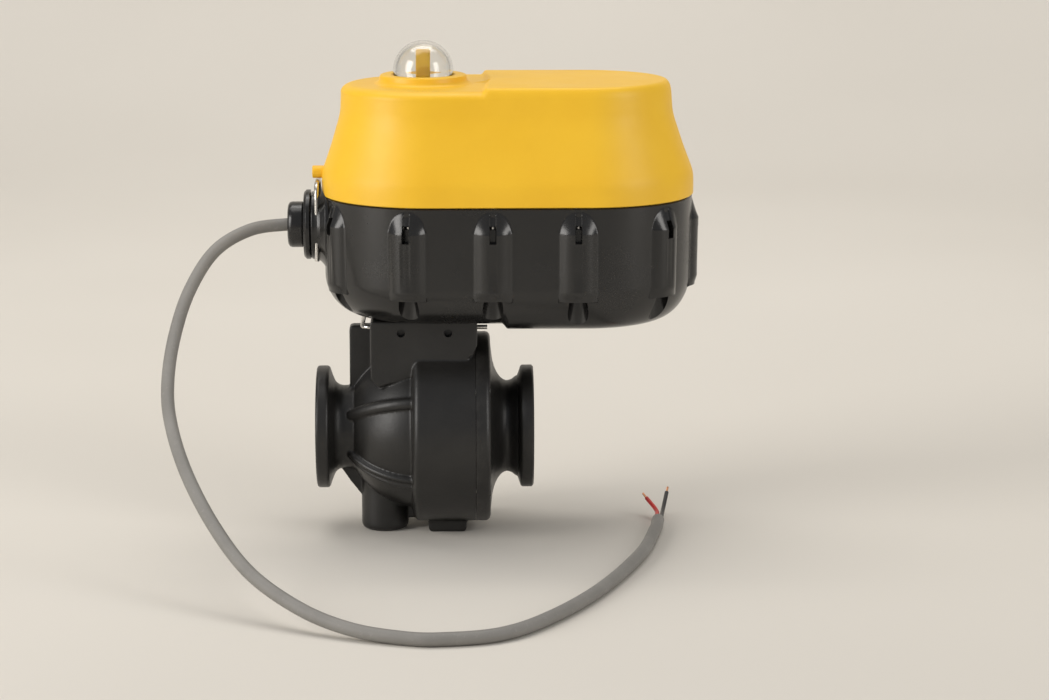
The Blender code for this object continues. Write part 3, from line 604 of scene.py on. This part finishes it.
def shade(obj, degrees=38.0):
    """Smooth shading with creases where faces meet at more than an angle."""
    mesh = obj.data
    mesh.polygons.foreach_set("use_smooth", [True] * len(mesh.polygons))
    mesh.set_sharp_from_angle(angle=math.radians(degrees))
    return obj


def fused(name, parts, voxel, smooth):
    """Overlapping closed shapes melted into one skin, with soft moulded corners."""
    obj = facing_out(linked(name, *joined(*parts)))
    melt = obj.modifiers.new("melt", "REMESH")
    melt.mode = "VOXEL"
    melt.voxel_size = voxel * MM
    melt.use_smooth_shade = True
    relax = obj.modifiers.new("relax", "SMOOTH")
    relax.factor = 0.5
    relax.iterations = smooth
    return bake(obj)


def finish_piece(obj, body, slot, stands_for, angle=38.0):
    obj.data.materials.clear()
    obj.data.materials.append(LOOKS[slot])
    obj.data.polygons.foreach_set("material_index", [0] * len(obj.data.polygons))
    if angle:
        shade(obj, angle)
    return settle(obj, body, stands_for)


# ---------------------------------------------------------------- actuator outline
STRAIGHT = RIGHT_C - LEFT_C
OUTLINE_R = 53.0
ARC = OUTLINE_R * math.pi
ROUND = 2 * (STRAIGHT + ARC)
SCREW_TURNS = (-61.6, -12.3, 45.8)
SCREW_STRAIGHT = (33.5, 74.6)


def stations():
    """Each cover screw as (x, y, outward x, outward y)."""
    found = []
    for side in (-1, 1):
        for x in SCREW_STRAIGHT:
            found.append((x, side * SCREW_R, 0.0, float(side)))
        for turn in SCREW_TURNS:
            centre = LEFT_C if turn < 0 else RIGHT_C
            out = (math.sin(math.radians(turn)), side * math.cos(math.radians(turn)))
            found.append((centre + SCREW_R * out[0], SCREW_R * out[1], *out))
    found.append((RIGHT_C + SCREW_R, 0.0, 1.0, 0.0))
    return found


def along_outline(x, out_x, out_y):
    """Distance round the outline to a station, starting where the front straight starts."""
    angle = math.atan2(out_y, out_x)
    if abs(out_x) < 1e-9:
        return x - LEFT_C if out_y < 0 else STRAIGHT + ARC + RIGHT_C - x
    if out_x > 0:
        return STRAIGHT + OUTLINE_R * (angle + math.pi / 2)
    if angle < 0:
        angle += math.tau
    return 2 * STRAIGHT + ARC + OUTLINE_R * (angle - math.pi / 2)


STATION_S = [along_outline(x, ox, oy) for x, y, ox, oy in stations()]


def outline_places(coarse=2.2, near=True):
    """Column positions round the outline, closer together at the ribs when near is set."""
    fine, reach, least = 0.42, 10.5, 0.12
    places = list(np.arange(0.0, ROUND, coarse))
    places += [STRAIGHT, STRAIGHT + ARC, 2 * STRAIGHT + ARC, 0.0]
    if near:
        def far(s):
            return all(abs((s - t + ROUND / 2) % ROUND - ROUND / 2) > reach for t in STATION_S)
        places = [s for s in places if far(s)]
        for t in STATION_S:
            places += list((t + np.arange(-reach, reach + 0.01, fine)) % ROUND)
        places += [STRAIGHT, STRAIGHT + ARC, 2 * STRAIGHT + ARC, 0.0]
    places = sorted(places)
    kept = [places[0]]
    for s in places[1:]:
        if s - kept[-1] > least:
            kept.append(s)
    return np.array(kept)


def outline_frame(places):
    """Anchor x and outward direction of each column."""
    anchor, out_x, out_y = [], [], []
    for s in places:
        if s < STRAIGHT:
            anchor.append(LEFT_C + s)
            out_x.append(0.0)
            out_y.append(-1.0)
        elif s < STRAIGHT + ARC:
            a = (s - STRAIGHT) / OUTLINE_R - math.pi / 2
            anchor.append(RIGHT_C)
            out_x.append(math.cos(a))
            out_y.append(math.sin(a))
        elif s < 2 * STRAIGHT + ARC:
            anchor.append(RIGHT_C - (s - STRAIGHT - ARC))
            out_x.append(0.0)
            out_y.append(1.0)
        else:
            a = (s - 2 * STRAIGHT - ARC) / OUTLINE_R + math.pi / 2
            anchor.append(LEFT_C)
            out_x.append(math.cos(a))
            out_y.append(math.sin(a))
    return np.array(anchor), np.array(out_x), np.array(out_y)


def ease(value):
    value = np.clip(value, 0.0, 1.0)
    return value * value * (3 - 2 * value)


def smooth_line(points, per):
    """A smooth curve through 2-D points, as an array."""
    spots = np.array(points, float)
    ends = np.vstack([2 * spots[0] - spots[1], spots, 2 * spots[-1] - spots[-2]])
    made = []
    for a, b, c, d in zip(ends, ends[1:], ends[2:], ends[3:]):
        for k in range(per):
            t = k / per
            made.append(0.5 * (2 * b + (c - a) * t + (2 * a - 5 * b + 4 * c - d) * t * t
                               + (3 * b - a - 3 * c + d) * t ** 3))
    made.append(spots[-1])
    return np.array(made)


def shell_from(rows_xyz):
    """A closed mesh from rows of columns, with a flat cap on the first and last row."""
    grid = np.array(rows_xyz)
    count = grid.shape[1]
    verts = grid.reshape(-1, 3)
    faces = [tuple(range(count))[::-1], tuple(range(len(verts) - count, len(verts)))]
    for n in range(grid.shape[0] - 1):
        a = n * count
        for k in range(count):
            j = (k + 1) % count
            faces.append((a + k, a + j, a + j + count, a + k + count))
    return verts, faces


# ---------------------------------------------------------------- actuator base
WALL_LOW, WALL_HIGH = 52.6, 53.2
WALL_START = 78.7
BASE_BOTTOM = 58.7
CORNER_R = WALL_START - BASE_BOTTOM
RIB_FOOT, RIB_CREASE = 72.9, 106.0
RIB_HALF, SLOT_HALF = 9.6, 1.35
SLOT_LOW, SLOT_DEEP, SLOT_HIGH = 101.7, 109.3, 116.0
POCKET_R = 5.0
RIB_FRONT, RIB_CURVE = 56.3, 12.7


def wall_reach(z):
    """Where the wall stands at a height: upright, with a slight draft above the corner."""
    rise = max(z - WALL_START, 0.0) / (SEAM_Z - WALL_START)
    return WALL_LOW + (WALL_HIGH - WALL_LOW) * rise


def rib_height(side, z, wall):
    """How far a rib stands from the wall, from the distance off its middle and the height."""
    core = RIB_FRONT - RIB_CURVE + np.sqrt(np.maximum(RIB_CURVE ** 2 - side ** 2, 0.0)) - wall
    core = np.where(np.abs(side) < RIB_CURVE, core, -5.0)
    body = 0.5 * (core + np.sqrt(core ** 2 + 0.28))
    crown = 10.2 * np.sqrt(np.maximum(1.0 - (side / 8.9) ** 2, 0.02))
    fall = 1.0 - np.clip((z - RIB_CREASE) / crown, 0.0, 1.0)
    fall = fall * (1.0 - 0.10 * np.sin(np.pi * fall))
    foot = np.where(z < RIB_FOOT, 0.0, 0.66 + 0.34 * ease((z - RIB_FOOT) / 4.5))
    return body * fall * foot


def base_rows(places):
    anchor, out_x, out_y = outline_frame(places)
    sides = []
    for t in STATION_S:
        sides.append((places - t + ROUND / 2) % ROUND - ROUND / 2)
    side = np.array(sides)
    near = side[np.argmin(np.abs(side), axis=0), np.arange(len(places))]

    profile = [(reach, BASE_BOTTOM) for reach in (0.25, 10.0, 20.0, 28.0)]
    for k in range(61):
        a = math.radians(90.0 * k / 60)
        profile.append((WALL_LOW - CORNER_R * (1 - math.sin(a)),
                        BASE_BOTTOM + CORNER_R * (1 - math.cos(a))))
    profile += [(None, z) for z in np.arange(79.2, 117.3, 0.5)]
    profile += [(None, 117.35)]
    rows = []
    for reach, z in profile:
        wall = wall_reach(z) if reach is None else reach
        drop = -2.7 * ease((anchor + out_x * wall - 38.0) / 3.0)
        low_share = 1.0 - ease((z - BASE_BOTTOM) / CORNER_R)
        here = np.full(len(places), wall)
        if z > RIB_FOOT:
            tall = rib_height(near, np.full(len(places), z), WALL_LOW)
            here = np.maximum(here, np.where(np.abs(near) < RIB_HALF, wall_reach(z) + tall, 0.0))
            if z < SLOT_LOW:
                dip = 0.42 * (1.0 - ease((np.abs(near) - 1.2) / 1.5))
                here = here - dip * ease((z - 74.0) / 14.0)
            elif z < SLOT_HIGH:
                slot = np.abs(near) < SLOT_HALF
                floor = 51.9 if z < 109.0 else wall_reach(z) + 0.05
                floor = 50.6 if 107.8 < z < 109.2 else floor
                shallow = np.minimum(here, np.maximum(here - 0.8, floor))
                cut = np.minimum(here, floor) if z < SLOT_DEEP else shallow
                here = np.where(slot, cut, here)
        rows.append(np.stack([anchor + out_x * here, out_y * here,
                              z + drop * low_share], axis=1))
    rim = ((WALL_HIGH - 0.55, SEAM_Z), (46.5, SEAM_Z), (46.5, 115.8), (44.4, 115.8),
           (44.4, 110.2), (49.7, 110.0), (49.6, 84.5), (43.4, 83.5))
    for reach, z in rim:
        rows.append(np.stack([anchor + out_x * reach, out_y * reach,
                              np.full(len(places), z)], axis=1))
    for k in range(8, -1, -1):
        a = math.radians(90.0 * k / 8)
        reach, z = 43.2 - 13.0 * (1 - math.sin(a)), 63.2 + 13.0 * (1 - math.cos(a))
        rows.append(np.stack([anchor + out_x * reach, out_y * reach,
                              np.full(len(places), z)], axis=1))
    return rows


def make_base():
    places = outline_places()
    base = facing_out(linked("actuator_housing", *shell_from(base_rows(places))))
    boss = lathe([(0.0, -55.7), (16.6, -55.7), (17.25, -55.0), (17.25, -53.6), (17.6, -52.2),
                  (18.5, -50.8), (20.2, -49.4), (22.0, -48.2), (22.0, -46.2), (0.0, -46.2)],
                 "X", (0, 0, GLAND_Z), steps=128, edge=0.5)
    spigot = rod((0, 0, 47.4), (0, 0, 61.5), 21.7, 96)
    carve(base, "UNION", boss, spigot)
    passage = lathe([(0.0, -57.0), (15.2, -57.0), (15.2, -48.7), (9.0, -48.7), (9.0, -40.0),
                     (0.0, -40.0)], "X", (0, 0, GLAND_Z), steps=96)
    cuts = [passage, rod((0, 0, 46.0), (0, 0, 66.0), 11.8, 64)]
    for y in (-18.5, 18.5):
        cuts.append(rod((-30.0, y, CLIP_Z), (30.0, y, CLIP_Z), 1.45, 20))
    for y in (-14.6, 14.6):
        cuts.append(rod((-52.5, y, 80.0), (-52.5, y, 118.3), 1.5, 20))
    lip = prism([(-60.0, 118.0), (-50.5, 118.0), (-50.5, 122.0), (-60.0, 122.0)], -24.0, 24.0)
    carve(base, "DIFFERENCE", joined(*cuts), lip)
    drill = lathe([(0.0, 50.0), (POCKET_R, 50.0), (POCKET_R, 79.4), (POCKET_R - 0.5, 79.9),
                   (2.3, 79.9), (2.3, 120.0), (0.0, 120.0)], steps=64)
    drills = [(drill[0] + np.array((x, y, 0.0)), drill[1]) for x, y, *_ in stations()]
    carve(base, "DIFFERENCE", joined(*drills))
    finish_piece(base, "housing", "housing_plastic", ["actuator_base"], 32.0)


def make_screws():
    """The eleven cover screws, driven up from the pockets under the ribs."""
    profile = [(0.0, 77.9), (1.3, 77.9), (1.5, 77.0), (2.9, 77.0), (3.4, 77.5), (3.4, 79.5),
               (3.1, 79.8), (2.0, 79.8), (2.0, 128.7), (1.6, 129.2), (0.0, 129.2)]
    for n, (x, y, *_) in enumerate(stations(), 1):
        name = f"cover_screw_{n:02d}"
        screw = facing_out(linked(name + "_turned", *lathe(profile, "Z", (x, y, 0), 48)))
        finish_piece(screw, "housing", SLOTS[name], [name], 30.0)


make_base()
make_screws()


# ---------------------------------------------------------------- actuator cover
def cover_rows(places):
    anchor, out_x, out_y = outline_frame(places)
    count = len(places)
    side_profile = smooth_line([(53.8, 118.75), (53.85, 123.0), (53.7, 127.5), (53.1, 130.6),
                                (51.8, 134.3), (49.0, 142.0), (46.5, 149.8), (44.7, 155.6),
                                (43.8, 160.0), (43.5, 164.5), (43.3, 168.2)], 5)
    rows = []

    def add(reach, z, shift=0.0):
        high = np.full(count, z) if np.isscalar(z) else z
        rows.append(np.stack([anchor + shift + out_x * reach, out_y * reach, high], axis=1))

    def raised(reach, shift):
        """How much of the raised panel a place belongs to, from 0 to 1."""
        x = anchor + shift + out_x * reach
        y = out_y * reach
        bend = 30.0 + 2.4 * (1.0 - np.minimum(np.abs(y) / 36.0, 1.0))
        return ease((x - bend + 1.4) / 2.4)

    inner = [(35.0, 170.0), (38.6, 168.2), (40.4, 165.0), (41.2, 158.0), (43.8, 149.2),
             (50.6, 129.4), (50.9, 124.0), (50.9, 118.35)]
    for reach, z in inner:
        add(reach, z, -0.8 * max(0.0, (z - 130.0) / 43.0))
    add(53.35, 118.35)
    for reach, z in side_profile:
        add(reach, z, -0.8 * max(0.0, (z - 130.0) / 43.0))
    corner = []
    for k in range(1, 15):
        a = math.radians(90.0 * k / 14)
        corner.append((43.3 - 6.1 * (1 - math.cos(a)), 168.4 + 4.3 * math.sin(a), a))
    for reach, z, a in corner:
        share = raised(reach, -0.8)
        tight = 43.3 - 3.4 * (1 - math.cos(a))
        spread = reach + (tight - reach) * share
        height = z + (168.4 + 6.2 * math.sin(a) - z) * share
        rows.append(np.stack([anchor - 0.8 + out_x * spread, out_y * spread, height], axis=1))
    for reach in np.concatenate([np.linspace(36.4, 8.0, 44), [4.0, 0.25]]):
        share = raised(reach, -0.8)
        add(reach, 172.7 + 1.9 * share, -0.8)
    return rows


def make_cover():
    places = outline_places(coarse=0.9, near=False)
    cover = facing_out(linked("yellow_cover", *shell_from(cover_rows(places))))
    ring = lathe([(0.0, 168.9), (24.2, 168.9), (24.2, 172.7), (22.9, 173.15), (21.9, 173.9),
                  (21.4, 175.0), (21.4, 176.0), (21.1, 176.7), (20.4, 177.0), (0.0, 177.0)],
                 steps=144)
    nub = lathe([(0.0, -55.0), (3.1, -55.0), (3.1, -46.0), (0.0, -46.0)], "X",
                (0, 0, 128.8), steps=40, edge=0.7)
    carve(cover, "UNION", ring, nub)
    recess = lathe([(0.0, 165.0), (7.0, 165.0), (7.0, 174.4), (15.1, 174.4), (15.1, 176.4),
                    (15.9, 177.2), (15.9, 179.0), (0.0, 179.0)], steps=128)
    holes = [rod((x, y, 117.0), (x, y, 129.6), 2.3, 20) for x, y, *_ in stations()]
    carve(cover, "DIFFERENCE", recess, joined(*holes))
    finish_piece(cover, "housing", "cover_plastic", ["actuator_cover"], 40.0)


make_cover()


# ---------------------------------------------------------------- window and indicator
def make_window():
    outer = [(14.75 * math.cos(a), 179.0 + 14.6 * math.sin(a))
             for a in np.linspace(0.0, math.pi / 2, 26)]
    inner = [(12.9 * math.cos(a), 179.0 + 12.8 * math.sin(a))
             for a in np.linspace(math.pi / 2, 0.0, 24)]
    outer[-1], inner[0] = (0.0, 193.6), (0.0, 191.8)
    profile = outer[::-1] + [(14.75, 175.1), (14.4, 174.7), (13.1, 174.7), (12.9, 175.0)]
    profile += inner[::-1]
    dome = facing_out(linked("window_dome", *lathe(profile, steps=128)))
    finish_piece(dome, "housing", "window", ["indicator_window"], 50.0)

    disc = lathe([(4.9, 175.0), (11.6, 175.0), (11.6, 176.6), (4.9, 176.6)], steps=96, edge=0.3)
    marker = facing_out(linked("indicator_disc", *disc))
    bar = rounded([(-10.6, 175.4), (10.6, 175.4), (10.6, 181.5), (4.0, 189.3), (-4.0, 189.3),
                   (-10.6, 181.5)], 1.0, 4, closed=True)
    body = prism(bar, -3.4, 3.4, "YZ")
    hub = rod((0, 0, 170.0), (0, 0, 176.9), 4.8, 48)
    blade = facing_out(linked("indicator_blade", *body))
    edge = blade.modifiers.new("edge", "BEVEL")
    edge.width = 0.5 * MM
    edge.segments = 3
    edge.limit_method = "ANGLE"
    edge.angle_limit = math.radians(50)
    bake(blade)
    carve(blade, "DIFFERENCE", hub)
    finish_piece(marker, "closure", "cover_plastic", ["position_indicator"], 40.0)
    finish_piece(blade, "closure", "cover_plastic", [], 40.0)


make_window()


# ---------------------------------------------------------------- valve body
def flange(direction):
    """From the outer face of a flange back to its neck, as (radius, x)."""
    neck = 20.7 if direction < 0 else 22.8
    steps = [(29.7, 54.0), (30.6, 53.2), (30.6, 48.5), (30.0, 47.7), (27.6, 46.9), (25.4, 46.1),
             (neck + 2.0, 44.9), (neck + 0.7, 43.3), (neck + 0.1, 41.6), (neck, 40.4)]
    return [(r, direction * x) for r, x in steps]


def arc(radius, first, last, steps):
    angles = np.radians(np.linspace(first, last, steps + 1))
    return [(radius * math.sin(a), radius * math.cos(a)) for a in angles]


def bead(turn, raise_by, wide, first=27.0, last=86.0):
    """A rounded rib along the ball shell, in a plane through the flow axis."""
    outward = np.array((0.0, -math.cos(math.radians(turn)), math.sin(math.radians(turn))))
    side = np.cross((1.0, 0.0, 0.0), outward)
    rings = []
    for k in range(33):
        along = math.radians(first + (last - first) * k / 32)
        radial = outward * math.sin(along) - np.array((math.cos(along), 0.0, 0.0))
        ring = []
        for i in range(20):
            a = math.tau * i / 20
            lift = raise_by * (abs(math.cos(a)) ** 0.75) * (1 if math.cos(a) > 0 else -1)
            ring.append(radial * (SHELL_R + lift) + side * wide * math.sin(a))
        rings.append(ring)
    return skin(rings)


def make_valve_body():
    shell = arc(SHELL_R, 149.0, 99.0, 24)
    profile = [(0.0, -54.0)] + flange(-1) + [(20.8, -38.4)]
    profile += shell
    profile += [(42.6, -6.0), (44.9, -5.6), (46.6, -4.7), (47.3, -3.6), (CAN_R, -2.4),
                (CAN_R, 27.5), (0.0, 27.5)]
    core = lathe(profile, "X", steps=160)

    outline = rounded([(-26.5, YOKE_TOP), (26.0, YOKE_TOP), (26.0, 46.5), (24.0, 41.8),
                       (19.9, 38.5), (8.0, 34.0), (-5.0, 31.6), (-22.8, 25.2), (-26.5, 29.5)],
                      1.5, 4, closed=True)
    yoke = prism(outline, -27.5, 27.5)
    web = prism(rounded([(-37.5, 52.1), (-20.0, 52.1), (-20.0, 20.0), (-37.5, 12.0)], 2.2, 4,
                        closed=True), -4.0, 4.0)
    boss = lathe([(0.0, -25.0), (11.75, -25.0), (11.75, -49.2), (11.3, -50.8), (10.1, -51.7),
                  (8.8, FLOOR_Z), (0.0, FLOOR_Z)], "Z", (-20.5, 0, 0), steps=96)
    foot = prism(rounded([(1.5, FLOOR_Z), (20.5, FLOOR_Z), (20.5, -41.0), (1.5, -41.0)], 2.2, 5,
                         closed=True), -11.5, 11.5)
    gusset = prism([(-43.0, -16.0), (-22.0, -16.0), (-22.0, -44.0), (-31.0, -36.0),
                    (-38.0, -27.0), (-43.0, -19.5)], -3.0, 3.0)
    bridge = prism([(-12.0, -46.5), (0.0, -46.5), (0.0, -34.0), (-12.0, -34.0)], -4.0, 4.0)
    parts = [core, yoke, web, boss, foot, gusset, bridge]
    parts += [bead(turn, 3.0, 2.9) for turn in (28.0, 152.0)]
    for turn in (-30.0, -150.0):
        parts += [bead(turn - 2.7, 3.0, 1.5), bead(turn + 2.7, 3.0, 1.5), bead(turn, 2.0, 2.0)]
    body = fused("valve_casting", parts, 0.58, 2)

    passage = lathe([(0.0, -55.0), (BORE_R, -55.0), (BORE_R, -24.0), (SEAT_R + 0.3, -24.0),
                     (SEAT_R + 0.3, -12.0), (26.0, -12.0), (26.0, 27.0), (0.0, 27.0)], "X",
                    steps=128)
    face = lathe([(0.0, 25.08), (48.4, 25.08), (48.4, 60.0), (0.0, 60.0)], "X", steps=128)
    bore = lathe([(0.0, 20.0), (8.2, 20.0), (8.2, 30.0), (6.5, 30.0), (6.5, 47.0),
                  (22.0, 47.0), (22.0, 60.0), (0.0, 60.0)], steps=96)
    small = []
    for y in (-18.5, 18.5):
        small.append(rod((-30.0, y, CLIP_Z), (30.0, y, CLIP_Z), 1.45, 20))
    for x in (-11.4, 11.7):
        for side in (-1, 1):
            small.append(rod((x, side * 29.0, 52.6), (x, side * 23.6, 52.6), 2.05, 28))
    for y, z in end_screw_places():
        small.append(rod((12.0, y, z), (27.0, y, z), 2.05, 20))
    carve(body, "DIFFERENCE", face, passage, bore, joined(*small))
    finish_piece(body, "housing", "valve_plastic", ["valve_body"], 50.0)


def end_screw_places():
    return [(43.3 * math.cos(math.radians(a)), 43.3 * math.sin(math.radians(a)))
            for a in (35.0, 145.0, 215.0, 325.0)]


def make_end_cap():
    bell = [(22.8 + 17.2 * (1 - math.cos(a)), 41.2 - 8.2 * math.sin(a))
            for a in np.radians(np.linspace(8, 80, 14))]
    profile = [(BORE_R, 54.0)] + flange(1) + bell
    profile += [(41.6, 32.6), (44.6, 32.5), (46.2, 32.1), (47.2, 31.2), (CAN_R, 30.0),
                (CAN_R, 25.3), (31.3, 25.3), (31.3, 27.3), (27.7, 27.3), (27.7, 25.3),
                (25.7, 25.3), (25.7, 12.3), (SEAT_R + 0.3, 12.3), (SEAT_R + 0.3, 24.0),
                (BORE_R, 24.0)]
    cap = facing_out(linked("outlet_cap", *lathe(profile, "X", steps=192)))
    holes = []
    for y, z in end_screw_places():
        holes.append(lathe([(0.0, 23.0), (2.05, 23.0), (2.05, 29.2), (2.95, 29.2), (2.95, 34.0),
                            (0.0, 34.0)], "X", (0, y, z), steps=32))
    carve(cap, "DIFFERENCE", joined(*holes))
    finish_piece(cap, "housing", "valve_plastic", ["end_cap"], 40.0)


make_valve_body()
make_end_cap()


# ---------------------------------------------------------------- cable gland and clips
def make_gland():
    centre = (0.0, 0.0, GLAND_Z)
    bore = CABLE_R + 0.45
    disc = lathe([(bore, -49.0), (14.9, -49.0), (14.9, -51.0), (13.1, -51.0), (13.1, -54.1),
                  (14.9, -54.1), (14.9, -56.0), (17.25, -56.0), (17.25, -58.0), (16.0, -59.2),
                  (9.6, -59.2), (9.6, -65.8), (7.0, -65.8), (7.0, -60.0), (bore, -60.0)], "X",
                 centre, steps=128, edge=0.35)
    finish_piece(facing_out(linked("gland_flange", *disc)), "housing", "housing_plastic",
                 ["gland_body"], 40.0)
    nut_profile = [(9.9, -59.6), (10.9, -59.6), (11.35, -60.2), (11.35, -65.2), (10.9, -66.4),
                   (9.8, -67.1), (8.4, -67.3), (bore, -67.3), (bore, -66.4), (9.9, -66.4)]
    nut = facing_out(linked("gland_cap", *lathe(nut_profile, "X", centre, 144, 0.3)))
    finish_piece(nut, "housing", "housing_plastic", ["gland_nut"], 40.0)


def bent(points, radius, steps=6):
    points = [Vector(p) for p in points]
    path = [points[0]]
    for before, corner, after in zip(points, points[1:], points[2:]):
        start = corner + (before - corner).normalized() * radius
        end = corner + (after - corner).normalized() * radius
        for i in range(steps + 1):
            t = i / steps
            path.append(start * (1 - t) ** 2 + corner * 2 * t * (1 - t) + end * t ** 2)
    path.append(points[-1])
    return path


def wire(name, points, radius, stands_for):
    curve = bpy.data.curves.new(name, "CURVE")
    curve.dimensions = "3D"
    curve.bevel_depth = radius * MM
    curve.bevel_resolution = 8
    curve.use_fill_caps = True
    spline = curve.splines.new("POLY")
    spline.points.add(len(points) - 1)
    for point, co in zip(spline.points, points):
        point.co = (*spot(*co), 1.0)
    obj = bpy.data.objects.new(name, curve)
    SCENE.collection.objects.link(obj)
    curve.materials.append(LOOKS["steel"])
    return settle(obj, "housing", stands_for)


make_gland()
wire("gland_staple", bent(((-52.5, -14.6, 86.5), (-52.5, -14.6, 124.2), (-52.5, 14.6, 124.2),
                           (-52.5, 14.6, 86.5)), 8.0, 16), 1.15, ["gland_clip"])
wire("yoke_staple", bent(((31.0, -18.5, CLIP_Z), (-30.6, -18.5, CLIP_Z), (-30.6, 18.5, CLIP_Z),
                          (31.0, 18.5, CLIP_Z)), 5.0, 14), 1.1, ["actuator_clip"])

for node_name, node in NODES.items():
    if not node.hide_render:
        soften = node.modifiers.new("edge", "BEVEL")
        soften.width = 0.12 * MM
        soften.segments = 2
        soften.limit_method = "ANGLE"
        soften.angle_limit = math.radians(42)
        soften.use_clamp_overlap = True


# ---------------------------------------------------------------- floor and light
def make_floor():
    g = Graph("seamless_paper")
    cloud = g.noise(1.6, 2.0, 0.5)
    g.set(Base_Color=g.mix(g.span(cloud, 0.3, 0.7), (0.66, 0.625, 0.565), (0.70, 0.665, 0.605)))
    g.set(Roughness=g.span(g.noise(700.0, 3.0, 0.6), 0.3, 0.7, 0.85, 0.95))
    g.set(Normal=g.bump(g.noise(900.0, 3.0, 0.6), 0.2, 0.00003))
    g.shader.inputs["Specular IOR Level"].default_value = 0.15
    profile = [(-4.0, 0.0), (1.2, 0.0)]
    for k in range(1, 25):
        a = math.radians(90.0 * k / 24)
        profile.append((1.2 + 1.1 * math.sin(a), 1.1 * (1 - math.cos(a))))
    profile.append((2.3, 4.5))
    floor_z = FLOOR_Z * MM
    verts, faces = [], []
    for y, z in profile:
        verts += [(-5.0, y, z + floor_z), (5.2, y, z + floor_z)]
    for n in range(len(profile) - 1):
        faces.append((2 * n, 2 * n + 1, 2 * n + 3, 2 * n + 2))
    mesh = bpy.data.meshes.new("backdrop")
    mesh.from_pydata(verts, [], faces)
    mesh.materials.append(g.mat)
    mesh.polygons.foreach_set("use_smooth", [True] * len(mesh.polygons))
    floor = bpy.data.objects.new("backdrop", mesh)
    SCENE.collection.objects.link(floor)


def softbox(name, place, aim, wide, tall, power, tint=(1.0, 0.97, 0.93)):
    data = bpy.data.lights.new(name, "AREA")
    data.shape = "RECTANGLE"
    data.size, data.size_y = wide, tall
    data.energy = power
    data.color = tint
    lamp = bpy.data.objects.new(name, data)
    SCENE.collection.objects.link(lamp)
    lamp.location = place
    look(lamp, Vector(place) - Vector(aim))


def make_light():
    middle = (0.10, 0.0, 0.06)
    softbox("key_left", (-1.35, -0.80, 0.60), middle, 0.80, 1.25, 20.0)
    softbox("fill_right", (1.45, -0.95, 0.60), middle, 0.55, 1.1, 10.0)
    softbox("overhead", (0.00, 0.30, 1.70), middle, 1.6, 1.2, 11.0)
    softbox("backdrop_wash", (0.10, 0.55, 1.90), (0.10, 2.30, 0.75), 2.4, 0.8, 23.0)
    world = bpy.data.worlds.new("studio")
    world.use_nodes = True
    world.node_tree.nodes["Background"].inputs["Color"].default_value = (0.93, 0.95, 1.0, 1.0)
    world.node_tree.nodes["Background"].inputs["Strength"].default_value = 0.33
    SCENE.world = world


make_floor()
make_light()
SCENE.view_settings.view_transform = "Standard"

bpy.context.view_layer.update()
